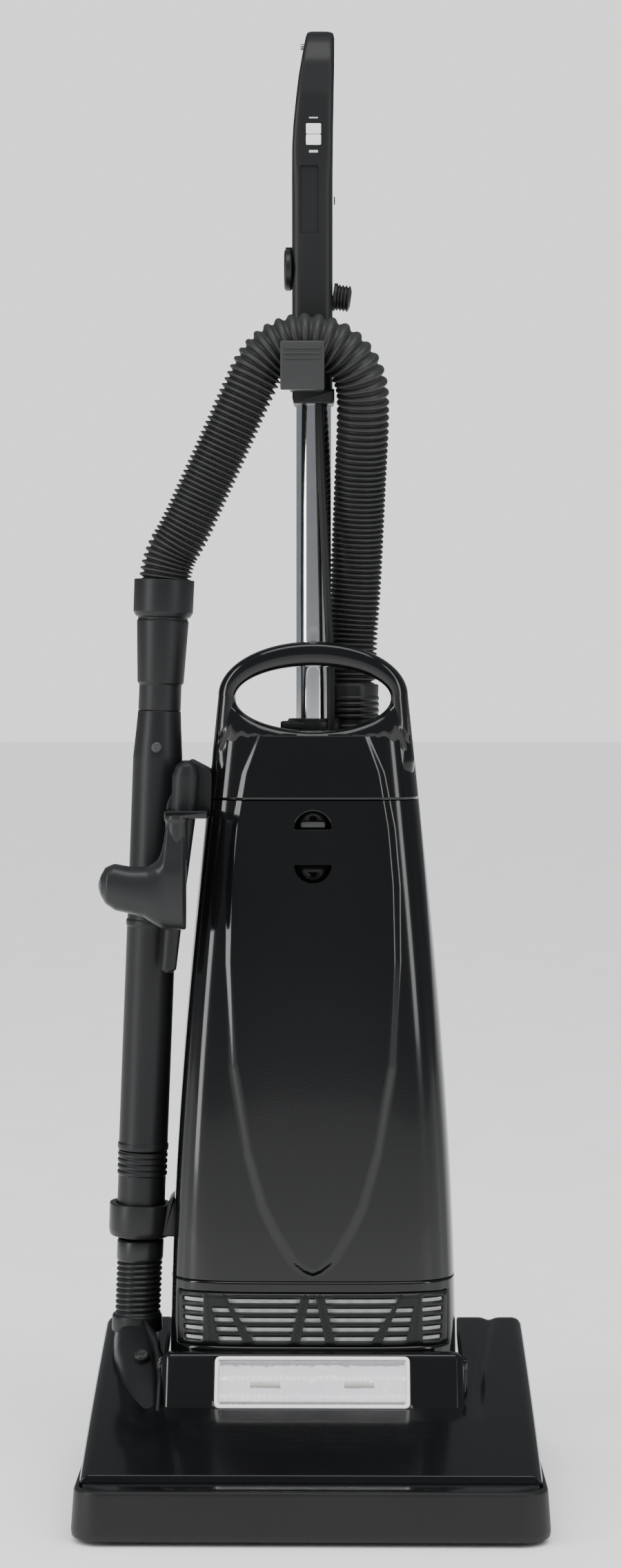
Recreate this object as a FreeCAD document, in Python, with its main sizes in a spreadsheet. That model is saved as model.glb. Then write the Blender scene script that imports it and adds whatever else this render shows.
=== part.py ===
import FreeCAD, Part
import math
import os

import Sketcher

# Upright vacuum cleaner.
# Frame: +Z up, the front of the nozzle faces -Y, +X to the right seen from the front.
# The origin is on the floor under the middle of the machine.

Vector = FreeCAD.Vector
doc = FreeCAD.newDocument("UprightVacuum")
dim = doc.addObject("Spreadsheet::Sheet", "dim")

DIMENSIONS = [
    # floor nozzle
    ("nozzle_front", -165.0, "front face of the bumper"),
    ("nozzle_width", 363.0, "width over the bumper"),
    ("bumper_depth", 5.0, "thickness of the bumper band"),
    ("bumper_low", 14.0, "lower edge of the bumper above the floor"),
    ("bumper_high", 40.0, "upper edge of the bumper"),
    ("corner_radius", 28.0, "plan radius of the front corners"),
    ("hood_wall", 3.0, "wall of the hood"),
    ("hood_rear", 125.0, "rear end of the hood"),
    ("hood_rear_width", 350.0, "width over the hood at its rear end"),
    ("crease_setback", 32.0, "from the bumper face to the crease of the hood"),
    ("crease_height", 47.0, "height of the crease"),
    ("hood_height", 112.5, "height of the hood at its rear end"),
    ("hood_bulge", 3.0, "rise of the hood's top over its chord"),
    ("bay_width", 242.0, "opening for the canister"),
    ("bay_front", -2.0, "front face of that opening"),
    ("hump_foot_y", -37.0, "foot of the sloping headlight face"),
    ("hump_foot_z", 73.0, "height of that foot"),
    ("hump_top", 112.0, "top of the headlight housing"),
    ("lens_tilt", 31.6, "slope of the headlight face from upright, degrees"),
    ("lens_width", 150.0, "width of the headlight lens"),
    ("lens_height", 38.0, "height of the lens along its slope"),
    ("lens_lift", 3.6, "from the foot of the slope to the lens"),
    ("lens_thickness", 2.0, "lens plate"),
    ("reflector_depth", 6.0, "reflector tray behind the lens"),
    ("bulb_radius", 1.8, "headlight bulb"),
    ("bulb_length", 24.0, "headlight bulb"),
    ("sole_low", 3.0, "underside of the sole plate"),
    ("sole_thickness", 3.0, "sole plate"),
    ("tray_thickness", 8.0, "floor of the chassis"),
    ("sole_inset", 6.0, "sole plate inside the bumper face"),
    ("brush_y", -100.0, "axis of the brush roll"),
    ("brush_z", 24.0, "height of that axis"),
    ("brush_radius", 15.0, "wooden core of the brush roll"),
    ("bristle_radius", 22.0, "over the bristle tips"),
    ("brush_length", 280.0, "brush roll between its bearings"),
    ("tuft_radius", 2.6, "one bristle tuft"),
    ("tuft_count", 15.0, "tufts in one spiral row"),
    ("tuft_margin", 30.0, "brush roll left bare at its ends, both together"),
    ("guard_width", 3.0, "carpet guard across the brush opening, between two tufts"),
    ("guard_drop", 1.2, "carpet guard below the sole plate"),
    ("tunnel_gap", 2.5, "between bristle tips and brush tunnel"),
    ("tunnel_wall", 2.5, "wall of the brush tunnel"),
    ("stub_radius", 5.0, "end shafts of the brush roll"),
    ("stub_length", 7.0, "end shafts of the brush roll"),
    ("running_gap", 0.05, "radial clearance of a shaft in its bearing"),
    ("body_gap", 0.5, "clearance between parts that move past each other"),
    ("belt_x", 97.0, "middle of the drive belt"),
    ("belt_width", 8.0, "drive belt"),
    ("belt_thickness", 1.6, "drive belt"),
    ("brush_pulley_radius", 12.0, "belt groove in the brush roll"),
    ("motor_pulley_radius", 8.0, "pulley on the motor shaft"),
    ("belt_gap", 0.3, "between belt and pulley groove"),
    ("arm_inner", 125.0, "inner face of the chassis arms"),
    ("arm_outer", 168.0, "outer face of the chassis arms"),
    ("arm_rear", 150.0, "rear end of the chassis arms"),
    ("arm_plate", 5.0, "plate thickness of the arms"),
    ("arm_top", 46.0, "top of the wheel brackets"),
    ("wheel_y", 133.0, "axle of the rear wheels"),
    ("wheel_radius", 32.0, "rear wheel over the tyre"),
    ("wheel_width", 18.0, "rear wheel"),
    ("wheel_x", 147.0, "middle of the rear wheel"),
    ("tyre_thickness", 5.0, "rubber tyre"),
    ("axle_radius", 4.0, "wheel axle"),
    ("glide_x", 150.0, "middle of a glide runner"),
    ("glide_width", 12.0, "glide runner"),
    ("glide_length", 80.0, "glide runner"),
    ("pedal_y", 112.0, "hinge of the release pedal"),
    ("pedal_z", 80.0, "height of that hinge"),
    ("pedal_reach", 44.0, "pedal behind its hinge"),
    ("pedal_width", 38.0, "release pedal"),
    ("pedal_thickness", 6.0, "release pedal"),
    # recline pivot and motor
    ("pivot_y", 60.0, "axis on which the handle reclines"),
    ("pivot_z", 78.0, "height of that axis"),
    ("pivot_radius", 8.0, "pivot pin"),
    ("cheek_radius", 20.0, "round lug of the canister on the pivot"),
    ("cheek_inner", 106.0, "inner face of that lug"),
    ("cheek_outer", 114.0, "outer face of that lug"),
    ("motor_radius", 57.0, "motor housing"),
    ("motor_length", 160.0, "motor housing"),
    ("motor_wall", 3.0, "motor housing"),
    ("field_radius", 44.0, "field coil pack"),
    ("field_bore", 27.0, "bore of the field coil pack"),
    ("field_length", 60.0, "field coil pack"),
    ("armature_radius", 24.0, "armature on the motor shaft"),
    ("shaft_radius", 4.0, "motor shaft"),
    ("bearing_radius", 11.0, "motor bearing"),
    ("bearing_width", 7.0, "motor bearing"),
    ("fan_radius", "=motor_radius - 9", "suction fan, clear of its housing"),
    ("fan_width", 14.0, "suction fan"),
    # canister
    ("foot_level", 95.0, "lower rim of the canister"),
    ("waist_level", 215.0, "canister station"),
    ("chest_level", 367.0, "canister station"),
    ("seam_level", 552.0, "seam between bag door and top cap"),
    ("cap_level", 604.0, "top of the cap"),
    ("foot_half_width", 116.5, "half width of the canister at its rim"),
    ("waist_half_width", 114.0, "half width at that station"),
    ("chest_half_width", 104.0, "half width at that station"),
    ("seam_half_width", 87.0, "half width at the seam"),
    ("cap_half_width", 80.5, "half width at the top of the cap"),
    ("front_foot", 2.0, "front of the canister at its rim"),
    ("front_cap", 35.0, "front of the canister at the cap"),
    ("back_foot", 140.0, "back of the canister at its rim"),
    ("back_cap", 145.0, "back of the canister at the cap"),
    ("front_bulge", 11.0, "crown of the canister's front"),
    ("front_corner", 20.0, "corner of the canister's front"),
    ("back_corner", 24.0, "corner of the canister's back"),
    ("shell_wall", 3.0, "wall of the canister"),
    ("door_split", 70.0, "plane between bag door and rear shell"),
    ("door_low", 166.0, "lower edge of the bag door"),
    ("foam_thickness", 9.0, "foam pad under the bag"),
    ("foam_front", 44.0, "foam pad in front of the door's back edge"),
    ("moon_margin", 5.0, "wall of the cup round each finger recess"),
    ("moon_floor", 2.0, "floor of that cup"),
    ("hinge_y", 9.0, "axis on which the bag door swings"),
    ("hinge_z", 168.0, "height of that axis"),
    ("hinge_bead_radius", 1.45, "round bead along that axis"),
    ("hinge_bead_half", 60.0, "half length of that bead"),
    ("hinge_relief", 3.4, "round hollow in the shell in which the door's lower edge turns"),
    ("seal_width", 3.0, "door seal"),
    ("seal_depth", 7.0, "door seal"),
    ("grille_low", 114.0, "lower edge of the filter grille"),
    ("grille_high", 157.0, "upper edge of the filter grille"),
    ("grille_half_width", 109.0, "half width of the filter grille"),
    ("slot_height", 3.0, "one slot of the grille"),
    ("slot_pitch", 7.5, "from slot to slot"),
    ("slot_top", 150.5, "middle of the top row of slots"),
    ("moon_radius", 15.5, "half-moon finger recess of the latch"),
    ("moon_upper", 528.0, "flat edge of the upper recess"),
    ("moon_lower", 500.0, "flat edge of the lower recess"),
    ("moon_depth", 10.0, "depth of the recess behind the front wall"),
    ("latch_width", 20.0, "latch button"),
    ("latch_height", 5.0, "latch button"),
    ("exhaust_half", 78.0, "half width of the exhaust filter"),
    ("bag_gap", 22.0, "room between the dust bag and the canister's outer face"),
    ("loop_half_width", 79.0, "carry loop"),
    ("loop_top", 680.0, "top of the carry loop"),
    ("loop_middle", 636.0, "height of the loop's widest part"),
    ("loop_front", 38.0, "front of the carry loop"),
    ("loop_depth", 24.0, "carry loop from front to back"),
    ("loop_hole_half", 63.5, "half width of the hand opening"),
    ("loop_hole_rise", 27.0, "half height of the hand opening"),
    ("loop_hole_level", 634.0, "middle of the hand opening"),
    # tube and handle
    ("tube_y", 95.0, "axis of the handle tube"),
    ("tube_radius", 14.3, "handle tube"),
    ("tube_wall", 1.2, "handle tube"),
    ("tube_foot", 560.0, "lower end of the tube in its socket"),
    ("tube_top", 925.0, "upper end of the tube in the handle"),
    ("socket_wall", 3.5, "socket of the tube in the cap"),
    ("collar_low", 874.0, "lower face of the handle's collar"),
    ("handle_low", 885.0, "lower end of the handle"),
    ("handle_top", 1182.0, "top of the handle"),
    ("handle_half_width", "=tube_radius + 2.4", "half width of the handle's column, round the tube"),
    ("handle_tip_half", 10.5, "half width at the top of the handle"),
    ("handle_half_depth", 16.0, "half depth of the handle's column"),
    ("grip_rear", 143.0, "rear of the grip"),
    ("screw_radius", 2.5, "handle screw"),
    ("screw_length", 22.0, "handle screw"),
    ("switch_low", 1084.4, "lower edge of the power switch"),
    ("switch_height", 17.4, "power switch"),
    ("switch_width", 11.8, "power switch"),
    ("switch_depth", 9.0, "power switch"),
    ("rocker_pin_radius", 1.5, "pin on which the switch rocks"),
    ("rocker_pin_depth", 5.5, "that pin behind the handle's front"),
    ("gland_level", 961.5, "middle of the cord gland"),
    ("gland_radius", 11.5, "cord gland"),
    ("gland_reach", 10.5, "cord gland beside the handle"),
    ("hook_level", 985.0, "axis of the upper cord hook"),
    ("hook_radius", 17.0, "disc of the upper cord hook"),
    ("hook_plate", 6.5, "thickness of the upper cord hook"),
    ("hook_reach", 38.0, "arm of the upper cord hook"),
    ("hook_gap", 0.9, "between hook and handle"),
    ("rest_low", 885.0, "underside of the hose rest"),
    ("rest_high", 924.0, "top of its front plate"),
    ("rest_left", -28.0, "left edge of the front plate"),
    ("rest_right", 10.0, "right edge of the front plate"),
    ("rest_front", 26.0, "front face of the plate"),
    ("rest_plate", 6.0, "thickness of the plate"),
    # hoses and wand
    ("hose_radius", 21.5, "suction hose over its ribs"),
    ("hose_bore", 17.0, "bore of the suction hose"),
    ("port_x", 31.0, "hose port on the cap"),
    ("port_y", 121.0, "hose port on the cap"),
    ("port_radius", 23.0, "cuff of the hose port"),
    ("port_top", 645.0, "top of that cuff"),
    ("lead_radius", 3.25, "lead from the switch to the motor"),
    ("wand_foot_x", -143.1, "wand axis at its foot"),
    ("wand_y", 72.0, "wand axis"),
    ("wand_foot_z", 190.0, "foot of the wand socket"),
    ("wand_tilt", 2.26, "lean of the wand, degrees"),
    ("socket_radius", 19.5, "wand socket"),
    ("socket_length", 72.0, "wand socket"),
    ("spigot_radius", 16.0, "end of the wand in its socket"),
    ("spigot_length", 34.0, "end of the wand in its socket"),
    ("spigot_gap", 0.3, "between spigot and socket"),
    ("wand_radius", 20.0, "wand"),
    ("wand_bore", 14.0, "bore of the wand"),
    ("wand_top", 434.0, "upper end of the wand above the socket's foot"),
    ("ferrule_level", 262.0, "step between the wand's two lengths"),
    ("grip_top", 541.0, "top of the hose cuff above the socket's foot"),
    ("cuff_radius", 24.3, "hose cuff on the wand"),
    ("cuff_length", 32.0, "hose cuff on the wand"),
    ("waist_radius", 17.0, "narrow part of the wand's grip"),
    ("waist_length", 24.0, "narrow part of the wand's grip"),
    ("hose_seat_depth", 11.5, "hose in its cuff"),
    ("hose_seat_gap", 0.4, "between hose and cuff"),
    ("clip_radius", 25.5, "ring clip around the wand socket"),
    ("clip_low", 192.0, "ring clip"),
    ("clip_high", 219.0, "ring clip"),
    ("elbow_top", 126.0, "mouth of the duct elbow"),
    ("elbow_radius", 20.0, "duct elbow"),
    ("elbow_nose", -55.0, "front end of the elbow's fairing"),
    ("duct_radius", 18.0, "lower hose over its ribs"),
    ("duct_bore", 14.5, "lower hose"),
    # tools on board
    ("tool_x", -109.0, "neck of the upholstery tool"),
    ("tool_y", 12.0, "neck of the upholstery tool"),
    ("tool_bottom", 450.0, "mouth of the upholstery tool"),
    ("tool_neck_top", 537.0, "top of its neck"),
    ("tool_neck_radius", 9.5, "upholstery tool's neck"),
    ("tool_peg_radius", 6.0, "peg that holds the upholstery tool"),
    ("tool_mouth_height", 30.0, "mouth piece of the upholstery tool"),
    ("tool_mouth_depth", 31.0, "mouth piece of the upholstery tool, front to back"),
    ("tool_horn_radius", 17.0, "side arm of the upholstery tool"),
    ("tool_left", -170.0, "rounded end of the upholstery tool"),
    ("crevice_top", 582.0, "top of the crevice tool"),
    ("crevice_tip", 414.0, "tip of the crevice tool"),
    ("crevice_x", -108.1, "crevice tool at its top"),
    ("crevice_tip_x", -118.0, "crevice tool at its tip"),
    ("crevice_y", 38.0, "crevice tool"),
    ("crevice_radius", 11.0, "crevice tool at its top"),
]

for row, (alias, value, note) in enumerate(DIMENSIONS, start=1):
    dim.set(f"A{row}", alias)
    dim.set(f"B{row}", str(value))
    dim.set(f"C{row}", note)
    dim.setAlias(f"B{row}", alias)
doc.recompute()


def size(alias):
    """The number that the sheet holds under this name."""
    return float(dim.get(alias))


# ---------------------------------------------------------------- building blocks

ALONG = {"x": Vector(1, 0, 0), "y": Vector(0, 1, 0), "z": Vector(0, 0, 1)}


def box(name, x, y, z):
    """A block between two faces on each axis, each face an expression."""
    block = doc.addObject("Part::Box", name)
    for side, axis, (low, high) in zip(("Length", "Width", "Height"), "xyz", (x, y, z)):
        block.setExpression(side, f"({high}) - ({low})")
        block.setExpression(f"Placement.Base.{axis}", f"{low}")
    return block


def rod(name, axis, radius, low, high, across):
    """A cylinder along one axis; across gives its other two coordinates in X, Y, Z order."""
    cylinder = doc.addObject("Part::Cylinder", name)
    turn = FreeCAD.Rotation(Vector(0, 0, 1), ALONG[axis])
    cylinder.Placement = FreeCAD.Placement(Vector(0, 0, 0), turn)
    cylinder.setExpression("Radius", radius)
    cylinder.setExpression("Height", f"({high}) - ({low})")
    places = iter(across)
    for letter in "xyz":
        place = low if letter == axis else next(places)
        cylinder.setExpression(f"Placement.Base.{letter}", f"{place}")
    return cylinder


def fuse(name, *shapes):
    union = doc.addObject("Part::MultiFuse", name)
    union.Shapes = list(shapes)
    return union


def cut(name, base, *tools):
    difference = doc.addObject("Part::Cut", name)
    difference.Base = base
    difference.Tool = tools[0] if len(tools) == 1 else fuse(f"{name}_tools", *tools)
    return difference


def common(name, base, tool):
    overlap = doc.addObject("Part::Common", name)
    overlap.Base = base
    overlap.Tool = tool
    return overlap


def group(name, *shapes):
    """Like pieces that share one node and stay separate solids."""
    compound = doc.addObject("Part::Compound", name)
    compound.Links = list(shapes)
    return compound


def formed(name, shape):
    """A shape worked out from the sheet's values by the lines that call this."""
    feature = doc.addObject("Part::Feature", name)
    feature.Shape = shape
    return feature


def sketched(body, plane, corners, offset="0"):
    """A closed outline of straight lines, each corner held by two expressions."""
    sketch = body.newObject("Sketcher::SketchObject", f"{body.Name}_outline")
    origin_plane = [face for face in body.Origin.OriginFeatures if face.Role == plane][0]
    sketch.AttachmentSupport = [(origin_plane, "")]
    sketch.MapMode = "FlatFace"
    sketch.setExpression("AttachmentOffset.Base.z", offset)
    count = len(corners)
    start = [Vector(9 * math.cos(2 * math.pi * i / count), 9 * math.sin(2 * math.pi * i / count), 0)
             for i in range(count)]
    for i in range(count):
        sketch.addGeometry(Part.LineSegment(start[i], start[(i + 1) % count]))
    for i in range(count):
        sketch.addConstraint(Sketcher.Constraint("Coincident", i, 2, (i + 1) % count, 1))
    for i, corner in enumerate(corners):
        for kind, place in zip(("DistanceX", "DistanceY"), corner):
            held = sketch.addConstraint(Sketcher.Constraint(kind, -1, 1, i, 1, 1.0))
            sketch.setExpression(f"Constraints[{held}]", str(place))
    return sketch


def plate(name, plane, corners, low, high):
    """A padded outline. The XZ plane looks along -Y, so its pad starts at the high face."""
    body = doc.addObject("PartDesign::Body", name)
    offset = f"-({high})" if plane == "XZ_Plane" else f"{low}"
    sketch = sketched(body, plane, corners, offset)
    pad = body.newObject("PartDesign::Pad", f"{name}_pad")
    pad.Profile = sketch
    pad.setExpression("Length", f"({high}) - ({low})")
    sketch.Visibility = False
    return body


def turned(name, profile, place, turn=None):
    """A lathe-turned body: profile corners are (radius, height), the axis is local Z."""
    body = doc.addObject("PartDesign::Body", name)
    sketch = sketched(body, "XZ_Plane", profile)
    spin = body.newObject("PartDesign::Revolution", f"{name}_turning")
    spin.Profile = sketch
    spin.ReferenceAxis = (sketch, ["V_Axis"])
    spin.Angle = 360
    body.Placement = FreeCAD.Placement(Vector(0, 0, 0), turn or FreeCAD.Rotation())
    for axis, expression in zip("xyz", place):
        body.setExpression(f"Placement.Base.{axis}", expression)
    return body


NODES = {}


def node(name, piece):
    """Keeps a finished sub-part under the name that its file gets."""
    piece.Label = name
    NODES[name] = piece
    return piece


PIVOT = ("dim.pivot_y", "dim.pivot_z")
BRUSH = ("dim.brush_y", "dim.brush_z")
WHEEL = ("dim.wheel_y", "dim.wheel_radius")

# ---------------------------------------------------------------- hood and bumper


def plan_outline(inset):
    """The nozzle seen from above: round front corners, sides that close in to the rear."""
    front = size("nozzle_front") + inset
    rear = size("hood_rear")
    wide = size("nozzle_width") / 2 - inset
    narrow = size("hood_rear_width") / 2 + size("bumper_depth") - inset
    round_off = size("corner_radius") - inset
    bend = round_off * (1 - math.sqrt(0.5))
    points = [
        Vector(-narrow, rear, 0),
        Vector(-wide, front + round_off, 0),
        Vector(-wide + bend, front + bend, 0),
        Vector(-wide + round_off, front, 0),
        Vector(wide - round_off, front, 0),
        Vector(wide - bend, front + bend, 0),
        Vector(wide, front + round_off, 0),
        Vector(narrow, rear, 0),
    ]
    edges = [
        Part.LineSegment(points[0], points[1]).toShape(),
        Part.Arc(points[1], points[2], points[3]).toShape(),
        Part.LineSegment(points[3], points[4]).toShape(),
        Part.Arc(points[4], points[5], points[6]).toShape(),
        Part.LineSegment(points[6], points[7]).toShape(),
        Part.LineSegment(points[7], points[0]).toShape(),
    ]
    return Part.Face(Part.Wire(edges))


def plan_prism(inset, low, high):
    face = plan_outline(inset)
    face.translate(Vector(0, 0, low))
    return face.extrude(Vector(0, 0, high - low))


def side_prism(inset):
    """The hood seen from the side: upright lip, ledge up to the crease, crowned top."""
    front = size("nozzle_front") + size("bumper_depth") + inset
    crease = Vector(0, size("nozzle_front") + size("crease_setback"), size("crease_height") - inset)
    rear = Vector(0, size("hood_rear"), size("hood_height") - inset)
    middle = (crease + rear) / 2 + Vector(0, 0, size("hood_bulge"))
    lip = Vector(0, front, size("bumper_high") - inset / 2)
    low = size("bumper_low") - (1 if inset else 0)
    rear_foot = Vector(0, size("hood_rear"), low)
    front_foot = Vector(0, front, low)
    edges = [
        Part.LineSegment(front_foot, lip).toShape(),
        Part.LineSegment(lip, crease).toShape(),
        Part.Arc(crease, middle, rear).toShape(),
        Part.LineSegment(rear, rear_foot).toShape(),
        Part.LineSegment(rear_foot, front_foot).toShape(),
    ]
    face = Part.Face(Part.Wire(edges))
    half = size("nozzle_width") / 2
    face.translate(Vector(-half, 0, 0))
    return face.extrude(Vector(2 * half, 0, 0))


def hump_prism(inset):
    """The raised housing of the headlight in front of the canister."""
    foot_y = size("hump_foot_y") + inset
    slope = math.tan(math.radians(size("lens_tilt")))
    rise = size("hump_top") - size("hump_foot_z")
    buried = size("hump_foot_z") - 12
    corners = [
        Vector(0, foot_y, buried),
        Vector(0, foot_y, size("hump_foot_z") - inset / 2),
        Vector(0, foot_y + rise * slope, size("hump_top") - inset),
        Vector(0, size("bay_front"), size("hump_top") - inset),
        Vector(0, size("bay_front"), buried),
    ]
    face = Part.Face(Part.makePolygon(corners + corners[:1]))
    half = size("bay_width") / 2 - inset
    face.translate(Vector(-half, 0, 0))
    return face.extrude(Vector(2 * half, 0, 0))


def block_shape(x, y, z):
    return Part.makeBox(x[1] - x[0], y[1] - y[0], z[1] - z[0], Vector(x[0], y[0], z[0]))


hood_low, hood_tall = size("bumper_low"), size("hood_height") + 20
bumper_inset = size("bumper_depth")
wall = size("hood_wall")
hood_outer = plan_prism(bumper_inset, hood_low, hood_tall).common(side_prism(0)).fuse(hump_prism(0))
hood_inner = plan_prism(bumper_inset + wall, 0, hood_tall).common(side_prism(wall))
hood_inner = hood_inner.fuse(hump_prism(wall))
bay_half = size("bay_width") / 2
bay = block_shape((-bay_half, bay_half), (size("bay_front"), size("hood_rear") + 1), (0, hood_tall))
bay_liner = block_shape((-bay_half - wall, bay_half + wall),
                        (size("bay_front") - wall, size("hood_rear")), (hood_low, hood_tall))
rear_opening = block_shape((bay_half + wall, size("hood_rear_width") / 2 - wall),
                           (size("hood_rear") - 2 * wall, size("hood_rear") + 1),
                           (0, size("pedal_z") + 12))
hood_solid = hood_outer.cut(hood_inner).fuse(bay_liner.common(hood_outer)).cut(bay)
hood_solid = hood_solid.cut(rear_opening).cut(rear_opening.mirror(Vector(0, 0, 0), Vector(1, 0, 0)))
hood_shell = formed("hood_shell", hood_solid.removeSplitter())


def lens_block(name, width, low, high, near, far):
    """A block that lies on the sloping headlight face, near and far in from the surface."""
    block = doc.addObject("Part::Box", name)
    turn = FreeCAD.Rotation(Vector(1, 0, 0), -size("lens_tilt"))
    block.Placement = FreeCAD.Placement(Vector(0, 0, 0), turn)
    block.setExpression("Length", width)
    block.setExpression("Width", f"({far}) - ({near})")
    block.setExpression("Height", f"({high}) - ({low})")
    block.setExpression("Placement.Base.x", f"-({width}) / 2")
    block.setExpression("Placement.Base.y",
                        f"dim.hump_foot_y + ({low}) * sin(dim.lens_tilt) + ({near}) * cos(dim.lens_tilt)")
    block.setExpression("Placement.Base.z",
                        f"dim.hump_foot_z + ({low}) * cos(dim.lens_tilt) - ({near}) * sin(dim.lens_tilt)")
    return block


lens_span = ("dim.lens_lift", "dim.lens_lift + dim.lens_height")
tray_back = "dim.lens_thickness + dim.reflector_depth"
lens = node("headlight_lens", lens_block("lens", "dim.lens_width", *lens_span, "0", "dim.lens_thickness"))
tray = lens_block("tray", "dim.lens_width", *lens_span, "dim.lens_thickness", tray_back)
tray_hollow = lens_block("tray_hollow", "dim.lens_width - 3", "dim.lens_lift + 1.5",
                         "dim.lens_lift + dim.lens_height - 1.5", "dim.lens_thickness - 1",
                         tray_back + " - 1.2")
node("headlight_reflector", cut("reflector", tray, tray_hollow))
bulbs = []
for side, sign in (("left", "-"), ("right", "")):
    bulb = rod(f"bulb_{side}", "x", "dim.bulb_radius",
               f"{sign}dim.lens_width / 4 - dim.bulb_length / 2",
               f"{sign}dim.lens_width / 4 + dim.bulb_length / 2",
               ("dim.hump_foot_y + (dim.lens_lift + dim.lens_height / 2) * sin(dim.lens_tilt)"
                " + (dim.lens_thickness + 0.5 + dim.bulb_radius) * cos(dim.lens_tilt)",
                "dim.hump_foot_z + (dim.lens_lift + dim.lens_height / 2) * cos(dim.lens_tilt)"
                " - (dim.lens_thickness + 0.5 + dim.bulb_radius) * sin(dim.lens_tilt)"))
    bulbs.append(bulb)
node("headlight_bulbs", group("bulbs", *bulbs))
lens_window = lens_block("lens_window", "dim.lens_width", *lens_span, "-6", tray_back)
pin_hole = rod("pin_hole", "x", "dim.pivot_radius + dim.body_gap", "-dim.arm_inner - 1", "dim.arm_inner + 1",
               PIVOT)
duct_hole = rod("duct_hole", "z", "dim.duct_bore", "dim.hood_height - 40", "dim.hood_height + 10",
                ("dim.wand_foot_x - 2.5", "dim.wand_y"))
belt_hole = box("belt_hole", ("dim.belt_x - dim.belt_width / 2 - 3", "dim.belt_x + dim.belt_width / 2 + 3"),
                ("dim.bay_front - dim.hood_wall - 2", "dim.bay_front + 2"), ("0", "dim.pivot_z"))
node("nozzle_hood", cut("hood", hood_shell, lens_window, pin_hole, duct_hole, belt_hole))

bumper_band = plan_prism(0, size("bumper_low"), size("bumper_high"))
bumper_band = bumper_band.cut(plan_prism(bumper_inset, 0, hood_tall))
bumper_band = bumper_band.cut(bay)
node("bumper_strip", formed("bumper", bumper_band))

# ---------------------------------------------------------------- sole plate and chassis

sole_face = plan_prism(size("sole_inset"), size("sole_low"), size("sole_low") + size("sole_thickness"))
sole_blank = formed("sole_blank", sole_face.common(block_shape(
    (-200, 200), (size("nozzle_front"), size("bay_front") - wall), (0, 20))))
window_x = ("-dim.brush_length / 2 - 6", "dim.brush_length / 2 + 6")
window_y = ("dim.brush_y - dim.bristle_radius - 1", "dim.brush_y + dim.bristle_radius + 1")
window = box("window", window_x, window_y, ("-1", "30"))
TUFT_PITCH = "(dim.brush_length - dim.tuft_margin) / (dim.tuft_count - 1)"
bars = [box(f"bar_{i}", (f"{TUFT_PITCH} * {gap_number} - dim.guard_width / 2",
                         f"{TUFT_PITCH} * {gap_number} + dim.guard_width / 2"), window_y,
            ("dim.sole_low - dim.guard_drop", "dim.sole_low + dim.guard_drop / 3"))
        for i, gap_number in enumerate((-4.5, -1.5, 1.5))]
sole_top = "dim.sole_low + dim.sole_thickness"
node("sole_plate", fuse("sole", cut("sole_open", sole_blank, window), *bars))

glides = [box(f"glide_{side}", (f"{sign}dim.glide_x - dim.glide_width / 2",
                                f"{sign}dim.glide_x + dim.glide_width / 2"),
              ("dim.brush_y - dim.glide_length / 2 + 10", "dim.brush_y + dim.glide_length / 2 + 10"),
              ("0", "dim.sole_low"))
          for side, sign in (("left", "-"), ("right", ""))]
node("glide_runners", group("glides", *glides))

tray_top = f"{sole_top} + dim.tray_thickness"
front_tray = formed("front_tray", plan_prism(
    size("sole_inset"), size("sole_low") + size("sole_thickness"),
    size("sole_low") + size("sole_thickness") + size("tray_thickness")).common(block_shape(
        (-200, 200), (size("nozzle_front"), size("bay_front") - wall), (0, 30))))
tunnel = rod("tunnel", "x", "dim.bristle_radius + dim.tunnel_gap + dim.tunnel_wall",
             "-dim.brush_length / 2 - 12", "dim.brush_length / 2 + 12", BRUSH)
tunnel_bore = rod("tunnel_bore", "x", "dim.bristle_radius + dim.tunnel_gap",
                  "-dim.brush_length / 2 - 9.5", "dim.brush_length / 2 + 9.5", BRUSH)
below_tray = box("below_tray", ("-200", "200"), ("-170", "170"), ("-40", sole_top))
belt_slot = box("belt_slot", ("dim.belt_x - dim.belt_width / 2 - 2", "dim.belt_x + dim.belt_width / 2 + 2"),
                ("dim.brush_y", "dim.bay_front + 1"), (sole_top + " + 3", "70"))
chassis_parts = [front_tray, tunnel]
for side, sign in (("left", "-"), ("right", "")):
    def across(near, far, sign=sign):
        """Faces at these distances from the middle plane, in rising order."""
        return (f"-({far})", f"-({near})") if sign else (near, far)
    chassis_parts.append(box(f"arm_floor_{side}", across("dim.arm_inner", "dim.arm_outer"),
                             ("dim.bay_front - 20", "dim.wheel_y - dim.wheel_radius - 4"),
                             (sole_top, tray_top)))
    for plate_name, near, far in (("inner", "dim.arm_inner", "dim.arm_inner + dim.arm_plate"),
                                  ("outer", "dim.arm_outer - dim.arm_plate", "dim.arm_outer")):
        chassis_parts.append(box(f"bracket_{plate_name}_{side}", across(near, far),
                                 ("dim.pivot_y - 20", "dim.arm_rear"), (sole_top, "dim.arm_top")))
    chassis_parts.append(box(f"pivot_post_{side}",
                             across("dim.arm_inner", "dim.arm_inner + dim.arm_plate"),
                             ("dim.pivot_y - 14", "dim.pivot_y + 14"), (sole_top, "dim.pivot_z + 14")))
chassis_blank = fuse("chassis_blank", *chassis_parts)
chassis_bores = [
    rod("pivot_bore", "x", "dim.pivot_radius", "-dim.arm_outer - 1", "dim.arm_outer + 1", PIVOT),
    rod("axle_bore", "x", "dim.axle_radius", "-dim.arm_outer - 1", "dim.arm_outer + 1", WHEEL),
    tunnel_bore, below_tray, belt_slot]
node("chassis", cut("chassis_body", chassis_blank, *chassis_bores))

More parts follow.
